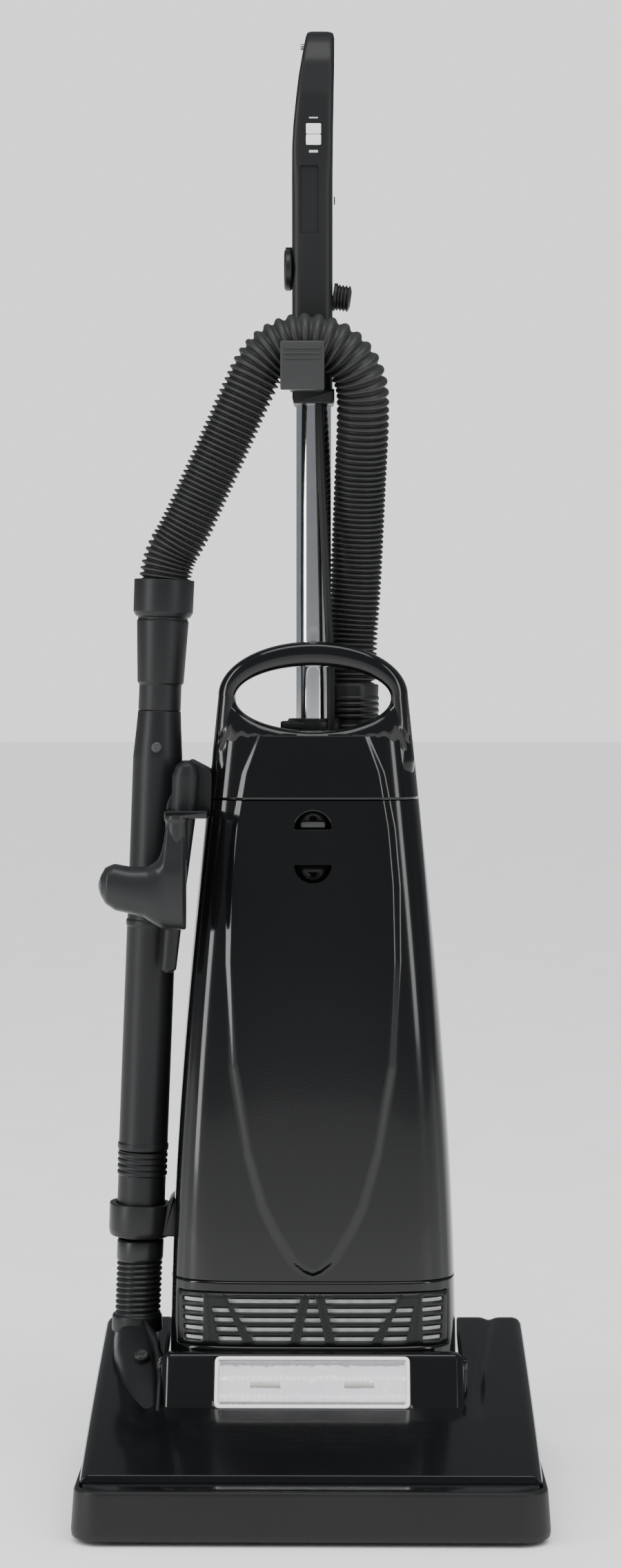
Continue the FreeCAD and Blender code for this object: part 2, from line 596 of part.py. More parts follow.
bearings = []
for side, low, high in (("left", "-dim.brush_length / 2 - 9.5", "-dim.brush_length / 2 - 0.5"),
                        ("right", "dim.brush_length / 2 + 0.5", "dim.brush_length / 2 + 9.5")):
    ring = rod(f"bearing_ring_{side}", "x", "dim.brush_radius", low, high, BRUSH)
    bore = rod(f"bearing_bore_{side}", "x", "dim.stub_radius + dim.running_gap", f"{low} - 1",
               f"{high} + 1", BRUSH)
    bearings.append(cut(f"bearing_{side}", ring, bore))
node("brush_bearings", group("bearing_pair", *bearings))

pins = []
for side, low, high in (("left", "-dim.arm_inner - dim.arm_plate", "-dim.cheek_inner"),
                        ("right", "dim.cheek_inner", "dim.arm_inner + dim.arm_plate")):
    pins.append(rod(f"pivot_pin_{side}", "x", "dim.pivot_radius", low, high, PIVOT))
node("pivot_pins", group("pin_pair", *pins))

axles = []
for side, low, high in (("left", "-dim.arm_outer", "-dim.arm_inner"),
                        ("right", "dim.arm_inner", "dim.arm_outer")):
    axles.append(rod(f"axle_{side}", "x", "dim.axle_radius", low, high, WHEEL))
node("wheel_axles", group("axle_pair", *axles))

# ---------------------------------------------------------------- brush roll, belt and wheels

ALONG_X = FreeCAD.Rotation(Vector(0, 0, 1), Vector(1, 0, 0))
belt_edges = ("dim.belt_x - dim.belt_width / 2 - 1", "dim.belt_x + dim.belt_width / 2 + 1")
roll_half = "dim.brush_length / 2"
roll_end = f"{roll_half} + dim.stub_length"
roll_profile = [
    ("0", f"-({roll_end})"), ("dim.stub_radius", f"-({roll_end})"),
    ("dim.stub_radius", f"-({roll_half})"), ("dim.brush_radius", f"-({roll_half})"),
    ("dim.brush_radius", belt_edges[0]), ("dim.brush_pulley_radius", belt_edges[0]),
    ("dim.brush_pulley_radius", belt_edges[1]), ("dim.brush_radius", belt_edges[1]),
    ("dim.brush_radius", roll_half), ("dim.stub_radius", roll_half),
    ("dim.stub_radius", roll_end), ("0", roll_end)]
node("brush_roll", turned("roll", roll_profile, ("0", *BRUSH), ALONG_X))

tufts = []
per_row = int(size("tuft_count"))
tuft_span = size("brush_length") - size("tuft_margin")
for row in range(2):
    for step in range(per_row):
        x = -tuft_span / 2 + tuft_span * step / (per_row - 1)
        if abs(x - size("belt_x")) < size("belt_width") / 2 + size("tuft_radius") + 4:
            continue
        angle = math.pi * row + math.pi * abs(x) / tuft_span
        outward = Vector(0, math.cos(angle), math.sin(angle))
        foot = Vector(x, size("brush_y"), size("brush_z")) + outward * (size("brush_radius") - 1)
        tufts.append(Part.makeCylinder(size("tuft_radius"),
                                       size("bristle_radius") - size("brush_radius") + 0.8,
                                       foot, outward))
node("brush_bristles", formed("bristles", Part.makeCompound(tufts)))


def belt_loop(offset):
    """The closed line that wraps both pulleys at this distance from their grooves."""
    centres = [Vector(0, size("brush_y"), size("brush_z")), Vector(0, size("pivot_y"), size("pivot_z"))]
    radii = [size("brush_pulley_radius") + offset, size("motor_pulley_radius") + offset]
    between = centres[1] - centres[0]
    heading = math.atan2(between.z, between.y)
    open_angle = math.acos((radii[0] - radii[1]) / between.Length)

    def rim(which, angle):
        return centres[which] + Vector(0, math.cos(angle), math.sin(angle)) * radii[which]
    upper, lower = heading + open_angle, heading - open_angle
    edges = [
        Part.LineSegment(rim(0, upper), rim(1, upper)).toShape(),
        Part.Arc(rim(1, upper), rim(1, heading), rim(1, lower)).toShape(),
        Part.LineSegment(rim(1, lower), rim(0, lower)).toShape(),
        Part.Arc(rim(0, lower), rim(0, heading + math.pi), rim(0, upper)).toShape(),
    ]
    face = Part.Face(Part.Wire(edges))
    face.translate(Vector(size("belt_x") - size("belt_width") / 2, 0, 0))
    return face.extrude(Vector(size("belt_width"), 0, 0))


belt_inner = size("belt_gap")
node("drive_belt", formed("belt", belt_loop(belt_inner + size("belt_thickness")).cut(belt_loop(belt_inner))))

wheel_half = "dim.wheel_width / 2"
rim_radius = "dim.wheel_radius - dim.tyre_thickness"
hub_radius = "dim.axle_radius + 5"
hub_bore = "dim.axle_radius + dim.running_gap"
hub_profile = [
    (hub_bore, f"-({wheel_half})"), (hub_radius, f"-({wheel_half})"), (hub_radius, "-3"),
    (rim_radius + " - 4", "-3"), (rim_radius + " - 4", f"-({wheel_half})"),
    (rim_radius, f"-({wheel_half})"), (rim_radius, wheel_half), (rim_radius + " - 4", wheel_half),
    (rim_radius + " - 4", "3"), (hub_radius, "3"), (hub_radius, wheel_half), (hub_bore, wheel_half)]
tyre_profile = [
    (rim_radius, f"-({wheel_half})"), ("dim.wheel_radius - 2", f"-({wheel_half})"),
    ("dim.wheel_radius", f"-({wheel_half}) + 2.5"), ("dim.wheel_radius", f"{wheel_half} - 2.5"),
    ("dim.wheel_radius - 2", wheel_half), (rim_radius, wheel_half)]
for side, sign in (("left", "-"), ("right", "")):
    centre = (f"{sign}dim.wheel_x", *WHEEL)
    node(f"rear_wheel_{side}", turned(f"hub_{side}", hub_profile, centre, ALONG_X))
    node(f"rear_tyre_{side}", turned(f"tyre_{side}", tyre_profile, centre, ALONG_X))

pedal_x = ("dim.wheel_x - dim.pedal_width / 2", "dim.wheel_x + dim.pedal_width / 2")
pedal_tread = box("pedal_tread", pedal_x, ("dim.pedal_y", "dim.pedal_y + dim.pedal_reach"),
                  ("dim.pedal_z - dim.pedal_thickness / 2", "dim.pedal_z + dim.pedal_thickness / 2"))
pedal_hub = rod("pedal_hub", "x", "dim.pedal_thickness", *pedal_x, ("dim.pedal_y", "dim.pedal_z"))
node("release_pedal", fuse("pedal", pedal_tread, pedal_hub))

# ---------------------------------------------------------------- canister

STATIONS = ("foot", "waist", "chest", "seam", "cap")


def blend_between(level, low_level, high_level, low_value, high_value):
    share = (level - low_level) / (high_level - low_level)
    return low_value + (high_value - low_value) * share


def half_width(level):
    """Half width of the canister at a height, straight between its stations."""
    pairs = list(zip(STATIONS[:-1], STATIONS[1:]))
    for low, high in pairs:
        if level <= size(f"{high}_level") or (low, high) == pairs[-1]:
            return blend_between(level, size(f"{low}_level"), size(f"{high}_level"),
                                 size(f"{low}_half_width"), size(f"{high}_half_width"))


def front_line(level):
    return blend_between(level, size("foot_level"), size("cap_level"), size("front_foot"), size("front_cap"))


def back_line(level):
    return blend_between(level, size("foot_level"), size("cap_level"), size("back_foot"), size("back_cap"))


def canister_section(level, inset):
    """Crowned front, eased corners and flat back at one height, as (x, y) corners."""
    half = half_width(level) - inset
    front = front_line(level) + inset
    back = back_line(level) - inset
    crown, corner, rear = size("front_bulge"), size("front_corner"), size("back_corner")
    right = [
        (half - 3 * corner, front),
        (half - corner, front + 0.6 * crown),
        (half - 0.3 * corner, front + crown + 0.3 * corner),
        (half, front + crown + corner),
        (half, back - rear),
        (half - 0.3 * rear, back - 0.3 * rear),
        (half - rear, back),
    ]
    return [Vector(x, y, level) for x, y in right] + [Vector(-x, y, level) for x, y in reversed(right)]


def canister_loft(inset, low, high):
    """The canister's body between two heights, this far inside its outer face."""
    inner = [size(f"{name}_level") for name in STATIONS if low < size(f"{name}_level") < high]
    rings = [canister_section(level, inset) for level in [low, *inner, high]]
    count = len(rings[0])
    outlines = [rings[0], rings[-1]]
    for below, above in zip(rings, rings[1:]):
        for i in range(count):
            j = (i + 1) % count
            outlines.append([below[i], below[j], above[j], above[i]])
    faces = [Part.Face(Part.makePolygon(outline + outline[:1])) for outline in outlines]
    return Part.Solid(Part.makeShell(faces))


thick = size("shell_wall")
foot, seam, cap = size("foot_level"), size("seam_level"), size("cap_level")
door_low, split, gap = size("door_low"), size("door_split"), size("body_gap")
wide, deep = (-200, 200), (-100, 300)
shell_ring = canister_loft(0, foot, seam).cut(canister_loft(thick, foot - 1, seam + 1))
floor_plate = canister_loft(thick, door_low - thick, door_low)
shell = shell_ring.fuse(floor_plate).cut(block_shape(wide, (-100, split), (door_low, seam + 1)))
grille_half, grille_low, grille_high = size("grille_half_width"), size("grille_low"), size("grille_high")
window_block = block_shape((-grille_half, grille_half), (-100, split - 20), (grille_low, grille_high))
shell = shell.cut(window_block)
port_in_floor = Part.makeCylinder(22, 30, Vector(0, size("pivot_y") + 20, door_low - 15))
shell = shell.cut(port_in_floor)
hollow_start = Vector(-200, size("hinge_y"), size("hinge_z"))
hinge_hollow = Part.makeCylinder(size("hinge_relief"), 400, hollow_start, Vector(1, 0, 0))
shell = shell.cut(hinge_hollow)
shell_base = formed("shell_base", shell)
cheeks = []
for side, low, high in (("left", "-dim.cheek_outer", "-dim.cheek_inner"),
                        ("right", "dim.cheek_inner", "dim.cheek_outer")):
    cheeks.append(rod(f"lug_{side}", "x", "dim.cheek_radius", low, high, PIVOT))
    cheeks.append(box(f"lug_web_{side}", (low, high),
                      ("dim.pivot_y - dim.cheek_radius", "dim.pivot_y + dim.cheek_radius"),
                      ("dim.pivot_z", "dim.foot_level + 26")))
lug_bore = rod("lug_bore", "x", "dim.pivot_radius + dim.running_gap", "-dim.cheek_outer - 1",
               "dim.cheek_outer + 1", PIVOT)
motor_clear = rod("motor_clear", "x", "dim.motor_radius",
                  "-dim.motor_length / 2", "dim.motor_length / 2", PIVOT)
node("canister_shell", cut("shell", fuse("shell_with_lugs", shell_base, *cheeks), lug_bore, motor_clear))

# bag door: the front half of the canister, hinged at its lower edge
door_shape = shell_ring.common(block_shape(wide, (-100, split - gap), (door_low + gap, seam - gap)))
moon_front = front_line(size("moon_upper"))
cup_depth = size("moon_depth")
cup_half = size("moon_radius") + size("moon_margin")
cup_low = size("moon_lower") - cup_half
cup_high = size("moon_upper") + cup_half
cup_back = moon_front + cup_depth + size("moon_floor")
cup_block = block_shape((-cup_half, cup_half), (moon_front - 8, cup_back), (cup_low, cup_high))
door_shape = door_shape.fuse(cup_block.common(canister_loft(0, door_low, seam)))


def half_moon(level, upward):
    """A half disc, flat on one side, that goes in from the front."""
    radius = size("moon_radius")
    disc = Part.makeCylinder(radius, cup_depth + 40, Vector(0, moon_front - 40, level), Vector(0, 1, 0))
    band = (level, level + radius + 1) if upward else (level - radius - 1, level)
    return disc.common(block_shape(wide, (moon_front - 50, moon_front + cup_depth), band))


bead_start = Vector(-size("hinge_bead_half"), size("hinge_y"), size("hinge_z"))
hinge_bead = Part.makeCylinder(size("hinge_bead_radius"), 2 * size("hinge_bead_half"), bead_start, Vector(1, 0, 0))
door_shape = door_shape.fuse(hinge_bead)
door_shape = door_shape.cut(half_moon(size("moon_upper"), True)).cut(half_moon(size("moon_lower"), False))
node("bag_door", formed("door", door_shape.removeSplitter()))

seal_outer = canister_loft(thick, door_low + thick, seam - thick)
seal_inner = canister_loft(thick + size("seal_width"), door_low, seam - thick - size("seal_width"))
seal_slab = block_shape(wide, (split - size("seal_depth"), split - gap), (door_low, seam))
canister_volume = formed("canister_volume", canister_loft(0, foot, cap))
node("door_seal", formed("seal", seal_outer.cut(seal_inner).common(seal_slab)))

FRONT_AT_MOON = ("(dim.front_foot + (dim.front_cap - dim.front_foot)"
                 " * (dim.moon_upper - dim.foot_level) / (dim.cap_level - dim.foot_level))")
latch_y = (f"{FRONT_AT_MOON} + 2.5", f"{FRONT_AT_MOON} + dim.moon_depth - 0.4")
node("door_latch", box("latch", ("-dim.latch_width / 2", "dim.latch_width / 2"), latch_y,
                       ("dim.moon_upper + 1.5", "dim.moon_upper + 1.5 + dim.latch_height")))

# filter grille: the lower front panel, with rows of slots that narrow or widen from row to row
panel = canister_loft(0, foot, seam).cut(canister_loft(thick, foot - 1, seam + 1)).common(
    block_shape((gap - grille_half, grille_half - gap), (-100, split - 21),
                (grille_low + gap, grille_high - gap)))
SLOT_ROWS = 5
SLOT_GROUPS = (
    # inner and outer end of a slot in the top row, then in the bottom row, from the middle plane
    (-0.5, 3.0, -0.5, 9.6),
    (10.3, 68.0, 17.4, 48.8),
    (68.1, 83.0, 57.0, 76.0),
    (88.0, 106.0, 88.5, 104.0),
)
slots = []
for row in range(SLOT_ROWS):
    share = row / (SLOT_ROWS - 1)
    middle = size("slot_top") - row * size("slot_pitch")
    band = (middle - size("slot_height") / 2, middle + size("slot_height") / 2)
    for number, (top_in, top_out, low_in, low_out) in enumerate(SLOT_GROUPS):
        if number == 2 and row == 0:
            continue
        near = top_in + (low_in - top_in) * share
        far = top_out + (low_out - top_out) * share
        slots.append(block_shape((near, far), (-20, split - 21), band))
        slots.append(block_shape((-far, -near), (-20, split - 21), band))
node("filter_grille", formed("grille", panel.cut(Part.makeCompound(slots))))

# ---------------------------------------------------------------- top cap with the carry loop

cap_solid = canister_loft(0, seam, cap).cut(canister_loft(thick, seam - 1, cap - thick))


def ellipse_prism(middle, across, rise, near, far):
    """An upright ellipse in the XZ plane, drawn out along Y."""
    centre = Vector(0, near, middle)
    flat = Part.Ellipse(centre + Vector(across, 0, 0), centre + Vector(0, 0, rise), centre)
    return Part.Face(Part.Wire(flat.toShape())).extrude(Vector(0, far - near, 0))


loop_front, loop_back = size("loop_front"), size("loop_front") + size("loop_depth")
loop = ellipse_prism(size("loop_middle"), size("loop_half_width"), size("loop_top") - size("loop_middle"),
                     loop_front, loop_back)
loop_foot = block_shape((-size("loop_half_width"), size("loop_half_width")), (loop_front, loop_back),
                        (cap - thick, size("loop_middle")))
hand_hole = ellipse_prism(size("loop_hole_level"), size("loop_hole_half"), size("loop_hole_rise"),
                          loop_front - 1, loop_back + 1)
cap_solid = cap_solid.fuse(loop.fuse(loop_foot).cut(hand_hole))
cap_base = formed("cap_base", cap_solid)
TUBE = ("0", "dim.tube_y")
PORT = ("dim.port_x", "dim.port_y")
tube_boss = rod("tube_boss", "z", "dim.tube_radius + dim.socket_wall", "dim.tube_foot - 4",
                "dim.cap_level", TUBE)
tube_bore = rod("tube_bore", "z", "dim.tube_radius", "dim.tube_foot", "dim.cap_level + 1", TUBE)
bag_spigot = rod("bag_spigot", "z", "dim.hose_bore + 3", "dim.seam_level - 20", "dim.cap_level - 1", PORT)
port_bore = rod("port_bore", "z", "dim.hose_bore", "dim.seam_level - 21", "dim.cap_level + 1", PORT)
node("top_cap", cut("cap", fuse("cap_with_boss", cap_base, tube_boss, bag_spigot), tube_bore, port_bore))

port_height = "dim.port_top - dim.cap_level"
port_profile = [("dim.hose_bore", "0"), ("dim.port_radius", "0"), ("dim.port_radius", port_height),
                ("dim.hose_bore", port_height)]
node("hose_port", turned("port", port_profile, (*PORT, "dim.cap_level")))

# ---------------------------------------------------------------- inside the canister

motor_half = "dim.motor_length / 2"
casing = rod("casing", "x", "dim.motor_radius", f"-{motor_half}", motor_half, PIVOT)
casing_hollow = rod("casing_hollow", "x", "dim.motor_radius - dim.motor_wall",
                    f"-{motor_half} + dim.motor_wall", f"{motor_half} - dim.motor_wall", PIVOT)
bearing_seats = [rod(f"bearing_seat_{side}", "x", "dim.bearing_radius", low, high, PIVOT)
                 for side, low, high in (("left", f"-{motor_half} - 1", f"-{motor_half} + dim.bearing_width"),
                                         ("right", f"{motor_half} - dim.bearing_width", f"{motor_half} + 1"))]
node("motor_housing", cut("housing", casing, casing_hollow, *bearing_seats))

field = rod("field", "x", "dim.field_radius", "-20", "dim.field_length - 20", PIVOT)
field_bore = rod("field_hole", "x", "dim.field_bore", "-21", "dim.field_length - 19", PIVOT)
node("motor_field", cut("field_pack", field, field_bore))
mount_rings = []
for side, low in (("left", "-20"), ("right", "dim.field_length - 32")):
    ring = rod(f"mount_ring_{side}", "x", "dim.motor_radius - dim.motor_wall", low, f"{low} + 12", PIVOT)
    hole = rod(f"mount_hole_{side}", "x", "dim.field_radius", f"{low} - 1", f"{low} + 13", PIVOT)
    mount_rings.append(cut(f"mount_{side}", ring, hole))
node("motor_mounts", group("mount_pair", *mount_rings))
motor_bearings = []
for side, low, high in (("left", f"-{motor_half}", f"-{motor_half} + dim.bearing_width"),
                        ("right", f"{motor_half} - dim.bearing_width", motor_half)):
    ring = rod(f"race_{side}", "x", "dim.bearing_radius", low, high, PIVOT)
    hole = rod(f"race_hole_{side}", "x", "dim.shaft_radius + dim.running_gap",
               f"{low} - 1", f"{high} + 1", PIVOT)
    motor_bearings.append(cut(f"race_ring_{side}", ring, hole))
node("motor_bearings", group("race_pair", *motor_bearings))

shaft_end = "dim.belt_x + dim.belt_width / 2 + 2"
armature_edges = ("-18", "dim.field_length - 22")
shaft_profile = [
    ("0", f"-{motor_half}"), ("dim.shaft_radius", f"-{motor_half}"), ("dim.shaft_radius", armature_edges[0]),
    ("dim.armature_radius", armature_edges[0]), ("dim.armature_radius", armature_edges[1]),
    ("dim.shaft_radius", armature_edges[1]), ("dim.shaft_radius", shaft_end), ("0", shaft_end)]
node("motor_armature", turned("armature", shaft_profile, ("0", *PIVOT), ALONG_X))
flange = "dim.motor_pulley_radius + 2"
flange_inner = (f"{belt_edges[0]} + 0.6", f"{belt_edges[1]} - 0.6")
pulley_profile = [
    ("dim.shaft_radius", belt_edges[0]), (flange, belt_edges[0]),
    (flange, flange_inner[0]), ("dim.motor_pulley_radius", flange_inner[0]),
    ("dim.motor_pulley_radius", flange_inner[1]), (flange, flange_inner[1]),
    (flange, belt_edges[1]), ("dim.shaft_radius", belt_edges[1])]
node("motor_pulley", turned("pulley", pulley_profile, ("0", *PIVOT), ALONG_X))
fan_low = "-dim.motor_length / 2 + dim.bearing_width + 8"
fan_profile = [
    ("dim.shaft_radius", fan_low), ("dim.fan_radius", fan_low), ("dim.fan_radius", f"{fan_low} + 2"),
    ("dim.fan_radius / 3", f"{fan_low} + dim.fan_width"), ("dim.shaft_radius", f"{fan_low} + dim.fan_width")]
node("motor_fan", turned("fan", fan_profile, ("0", *PIVOT), ALONG_X))

foam = canister_loft(thick + size("seal_width") + 2, door_low, door_low + size("foam_thickness"))
foam_rear = block_shape(wide, (split - size("foam_front"), 300), (0, 300))
node("pre_filter", formed("foam", foam.common(foam_rear)))
node("exhaust_filter", box("exhaust_pad", ("-dim.exhaust_half", "dim.exhaust_half"),
                           ("dim.front_foot + 13", "dim.front_foot + 23"),
                           ("dim.grille_low + 14", "dim.grille_high + 3")))

node("dust_bag", formed("bag", canister_loft(size("bag_gap"), door_low + 14, seam - 30)))

# ---------------------------------------------------------------- tube, handle and what is on it

tube_profile = [("dim.tube_radius - dim.tube_wall", "0"), ("dim.tube_radius", "0"),
                ("dim.tube_radius", "dim.tube_top - dim.tube_foot"),
                ("dim.tube_radius - dim.tube_wall", "dim.tube_top - dim.tube_foot")]
node("handle_tube", turned("tube", tube_profile, (*TUBE, "dim.tube_foot")))
node("tube_knob", rod("knob", "y", "4.5", "dim.tube_y - dim.tube_radius - 5",
                      "dim.tube_y - dim.tube_radius + 0.4", ("0", "dim.cap_level + 84")))
band_ring = rod("band_ring", "z", "dim.tube_radius + 2.4", "dim.cap_level", "dim.cap_level + 13", TUBE)
band_bore = rod("band_bore", "z", "dim.tube_radius", "dim.cap_level - 1", "dim.cap_level + 14", TUBE)
bolt_head = rod("bolt_head", "x", "5", "-dim.tube_radius - 8", "-dim.tube_radius - 1",
                ("dim.tube_y", "dim.cap_level + 7"))
node("tube_band", fuse("band", cut("band_body", band_ring, band_bore), bolt_head))

column_front, column_back = "dim.tube_y - dim.handle_half_depth", "dim.tube_y + dim.handle_half_depth"
handle_outline = [
    (column_front, "dim.handle_low"), (column_front, "dim.handle_top - 57"),
    ("dim.tube_y - 11", "dim.handle_top - 27"), ("dim.tube_y + 3", "dim.handle_top - 4"),
    ("dim.tube_y + 17", "dim.handle_top"), ("dim.grip_rear - 13", "dim.handle_top - 4"),
    ("dim.grip_rear - 1", "dim.handle_top - 22"), ("dim.grip_rear", "dim.handle_top - 62"),
    ("dim.grip_rear - 8", "dim.handle_top - 97"), (column_back, "dim.handle_top - 152"),
    (column_back, "dim.handle_low")]
finger_outline = [
    ("dim.tube_y + 2", "dim.handle_top - 107"), ("dim.tube_y + 3", "dim.handle_top - 42"),
    ("dim.tube_y + 11", "dim.handle_top - 21"), ("dim.grip_rear - 25", "dim.handle_top - 19"),
    ("dim.grip_rear - 16", "dim.handle_top - 32"), ("dim.grip_rear - 15", "dim.handle_top - 64"),
    ("dim.grip_rear - 22", "dim.handle_top - 92"), ("dim.tube_y + 12", "dim.handle_top - 121")]
taper_outline = [
    ("-dim.handle_half_width", "dim.handle_low"), ("dim.handle_half_width", "dim.handle_low"),
    ("dim.handle_half_width", "dim.handle_top - 120"), ("dim.handle_tip_half", "dim.handle_top"),
    ("-dim.handle_tip_half", "dim.handle_top"), ("-dim.handle_half_width", "dim.handle_top - 120")]
switch_high = "dim.switch_low + dim.switch_height"
screw_levels = ("dim.handle_low + 60", "dim.handle_top - 140", "dim.handle_top - 12")
screw_depths = ("dim.tube_y", "dim.tube_y + 6", "dim.tube_y + 17")
handle_taper = plate("handle_taper", "XZ_Plane", taper_outline, "dim.tube_y - 40", "dim.grip_rear + 10")
pocket_half = "(dim.switch_width / 2 + dim.body_gap)"
switch_pocket = box("switch_pocket", (f"-{pocket_half}", pocket_half),
                    (f"{column_front} - 1", f"{column_front} + dim.switch_depth + 1"),
                    ("dim.switch_low - 1.2", f"{switch_high} + 1.2"))
tube_seat = rod("tube_seat", "z", "dim.tube_radius", "dim.handle_low - 1", "dim.tube_top", TUBE)
screw_places = list(zip(screw_depths[1:], screw_levels[1:]))
half_screw = "dim.screw_length / 2"
screw_bores = [rod(f"screw_bore_{i}", "x", "dim.screw_radius", f"-{half_screw}", f"{half_screw} + 20", place)
               for i, place in enumerate(screw_places)]
finger_gap = plate("finger_gap", "YZ_Plane", finger_outline,
                   "-dim.handle_half_width - 1", "dim.handle_half_width + 1")
for side, low, high in (("left", "-dim.handle_half_width", "0"), ("right", "0", "dim.handle_half_width")):
    half_blank = common(f"handle_blank_{side}",
                        plate(f"handle_slab_{side}", "YZ_Plane", handle_outline, low, high), handle_taper)
    openings = (finger_gap, switch_pocket, tube_seat, *screw_bores)
    node(f"handle_{side}", cut(f"handle_half_{side}", half_blank, *openings))
screws = [rod(f"handle_screw_{i}", "x", "dim.screw_radius", f"-{half_screw}", f"{half_screw} - 3", place)
          for i, place in enumerate(screw_places)]
node("handle_screws", group("handle_screw_pair", *screws))

collar_block = box("collar_block", ("-dim.handle_half_width", "dim.handle_half_width"),
                   (f"{column_front} - 7", column_back), ("dim.collar_low", "dim.handle_low"))
collar_hole = rod("collar_hole", "z", "dim.tube_radius", "dim.collar_low - 1", "dim.handle_low + 1", TUBE)
node("handle_collar", cut("collar", collar_block, collar_hole))

rocker_cap = box("rocker_cap", ("-dim.switch_width / 2", "dim.switch_width / 2"),
                 (f"{column_front} - 1.5", f"{column_front} + dim.switch_depth - 1.5"),
                 ("dim.switch_low", switch_high))
rocker_pin = rod("rocker_pin", "x", "dim.rocker_pin_radius", "-dim.switch_width / 2 - dim.body_gap / 2",
                 "dim.switch_width / 2 + dim.body_gap / 2",
                 (f"{column_front} + dim.rocker_pin_depth", "dim.switch_low + dim.switch_height / 2"))
node("power_switch", fuse("rocker", rocker_cap, rocker_pin))

rest_plate = box("rest_plate_block", ("dim.rest_left", "dim.rest_right"),
                 ("dim.rest_front", "dim.rest_front + dim.rest_plate"), ("dim.rest_low", "dim.rest_high"))
rest_arm = box("rest_arm", ("dim.rest_left + 8", "dim.rest_right"), ("dim.rest_front", column_front),
               ("dim.rest_low", "dim.rest_low + 8"))
rest_foot = box("rest_foot", ("-dim.handle_half_width + 1", "dim.rest_right"),
                (f"{column_front} - 5", column_front), ("dim.rest_low", "dim.rest_low + 14"))
node("hose_rest", fuse("rest", rest_plate, rest_arm, rest_foot))

gland_profile = [("0", "0"), ("dim.gland_radius", "0")]
for rib in range(3):
    gland_profile += [("dim.gland_radius", f"dim.gland_reach * {(rib + 0.6) / 3:.4f}"),
                      ("dim.gland_radius - 1.6", f"dim.gland_reach * {(rib + 0.6) / 3:.4f}"),
                      ("dim.gland_radius - 1.6", f"dim.gland_reach * {(rib + 0.95) / 3:.4f}")]
    if rib < 2:
        gland_profile += [("dim.gland_radius", f"dim.gland_reach * {(rib + 0.95) / 3:.4f}")]
gland_profile += [("dim.gland_radius - 1.6", "dim.gland_reach"), ("0", "dim.gland_reach")]
gland_place = ("dim.handle_half_width", "dim.tube_y", "dim.gland_level")
node("cord_gland", turned("gland", gland_profile, gland_place, ALONG_X))

hook_inner = "-dim.handle_half_width - dim.hook_gap"
hook_outer = f"{hook_inner} - dim.hook_plate"
hook_disc = rod("hook_disc", "x", "dim.hook_radius", hook_outer, hook_inner, ("dim.tube_y", "dim.hook_level"))
hook_arm = box("hook_arm", (hook_outer, hook_inner), ("dim.tube_y", "dim.tube_y + dim.hook_reach"),
               ("dim.hook_level - 8", "dim.hook_level + 8"))
hook_tip = box("hook_tip", (hook_outer, hook_inner),
               ("dim.tube_y + dim.hook_reach - 8", "dim.tube_y + dim.hook_reach"),
               ("dim.hook_level - 8", "dim.hook_level + 24"))
node("upper_cord_hook", fuse("hook", hook_disc, hook_arm, hook_tip))

hook_level = "dim.seam_level - 60"
hook_back = ("(dim.back_foot + (dim.back_cap - dim.back_foot)"
             f" * ({hook_level} + 8 - dim.foot_level) / (dim.cap_level - dim.foot_level))")
lower_post = box("lower_post", ("-9", "9"), (hook_back, f"{hook_back} + 14"),
                 (f"{hook_level} - 8", f"{hook_level} + 8"))
lower_tip = box("lower_tip", ("-9", "9"), (f"{hook_back} + 10", f"{hook_back} + 16"),
                (f"{hook_level} - 30", f"{hook_level} + 8"))
node("lower_cord_hook", fuse("lower_hook", lower_post, lower_tip))

# ---------------------------------------------------------------- wand and its clip

LEAN = FreeCAD.Rotation(Vector(0, 1, 0), size("wand_tilt"))
WAND_FOOT = ("dim.wand_foot_x", "dim.wand_y", "dim.wand_foot_z")
spigot_low = "dim.socket_length - dim.spigot_length"
socket_profile = [
    ("dim.wand_bore", "0"), ("dim.socket_radius", "0"), ("dim.socket_radius", "dim.socket_length"),
    ("dim.spigot_radius + dim.spigot_gap", "dim.socket_length"),
    ("dim.spigot_radius + dim.spigot_gap", f"{spigot_low} - 1"), ("dim.wand_bore", f"{spigot_low} - 1")]
node("wand_socket", turned("wand_seat", socket_profile, WAND_FOOT, LEAN))
wand_profile = [
    ("dim.wand_bore", spigot_low), ("dim.spigot_radius", spigot_low),
    ("dim.spigot_radius", "dim.socket_length + dim.body_gap"),
    ("dim.wand_radius", "dim.socket_length + dim.body_gap"),
    ("dim.wand_radius", "dim.ferrule_level"), ("dim.wand_radius - 0.8", "dim.ferrule_level"),
    ("dim.wand_radius - 0.8", "dim.wand_top"), ("dim.wand_bore", "dim.wand_top")]
node("wand_tube", turned("wand", wand_profile, WAND_FOOT, LEAN))
cuff_low = "dim.grip_top - dim.cuff_length"
hose_seat = "dim.hose_radius + dim.hose_seat_gap"
grip_profile = [
    ("dim.wand_bore", "dim.wand_top"), ("dim.waist_radius", "dim.wand_top"),
    ("dim.waist_radius", "dim.wand_top + dim.waist_length"),
    ("dim.wand_radius", f"{cuff_low} - 4"), ("dim.cuff_radius - 1", cuff_low),
    ("dim.cuff_radius", f"{cuff_low} + 3"),
    ("dim.cuff_radius", "dim.grip_top"), (hose_seat, "dim.grip_top"),
    (hose_seat, "dim.grip_top - dim.hose_seat_depth"),
    ("dim.wand_bore", "dim.grip_top - dim.hose_seat_depth")]
node("wand_grip", turned("grip", grip_profile, WAND_FOOT, LEAN))
button = rod("button", "y", "4.5", "dim.wand_y - dim.wand_radius - 2", "dim.wand_y - dim.wand_radius + 1.4",
             ("dim.wand_foot_x + (dim.wand_top - 30) * sin(dim.wand_tilt)",
              "dim.wand_foot_z + dim.wand_top - 30"))
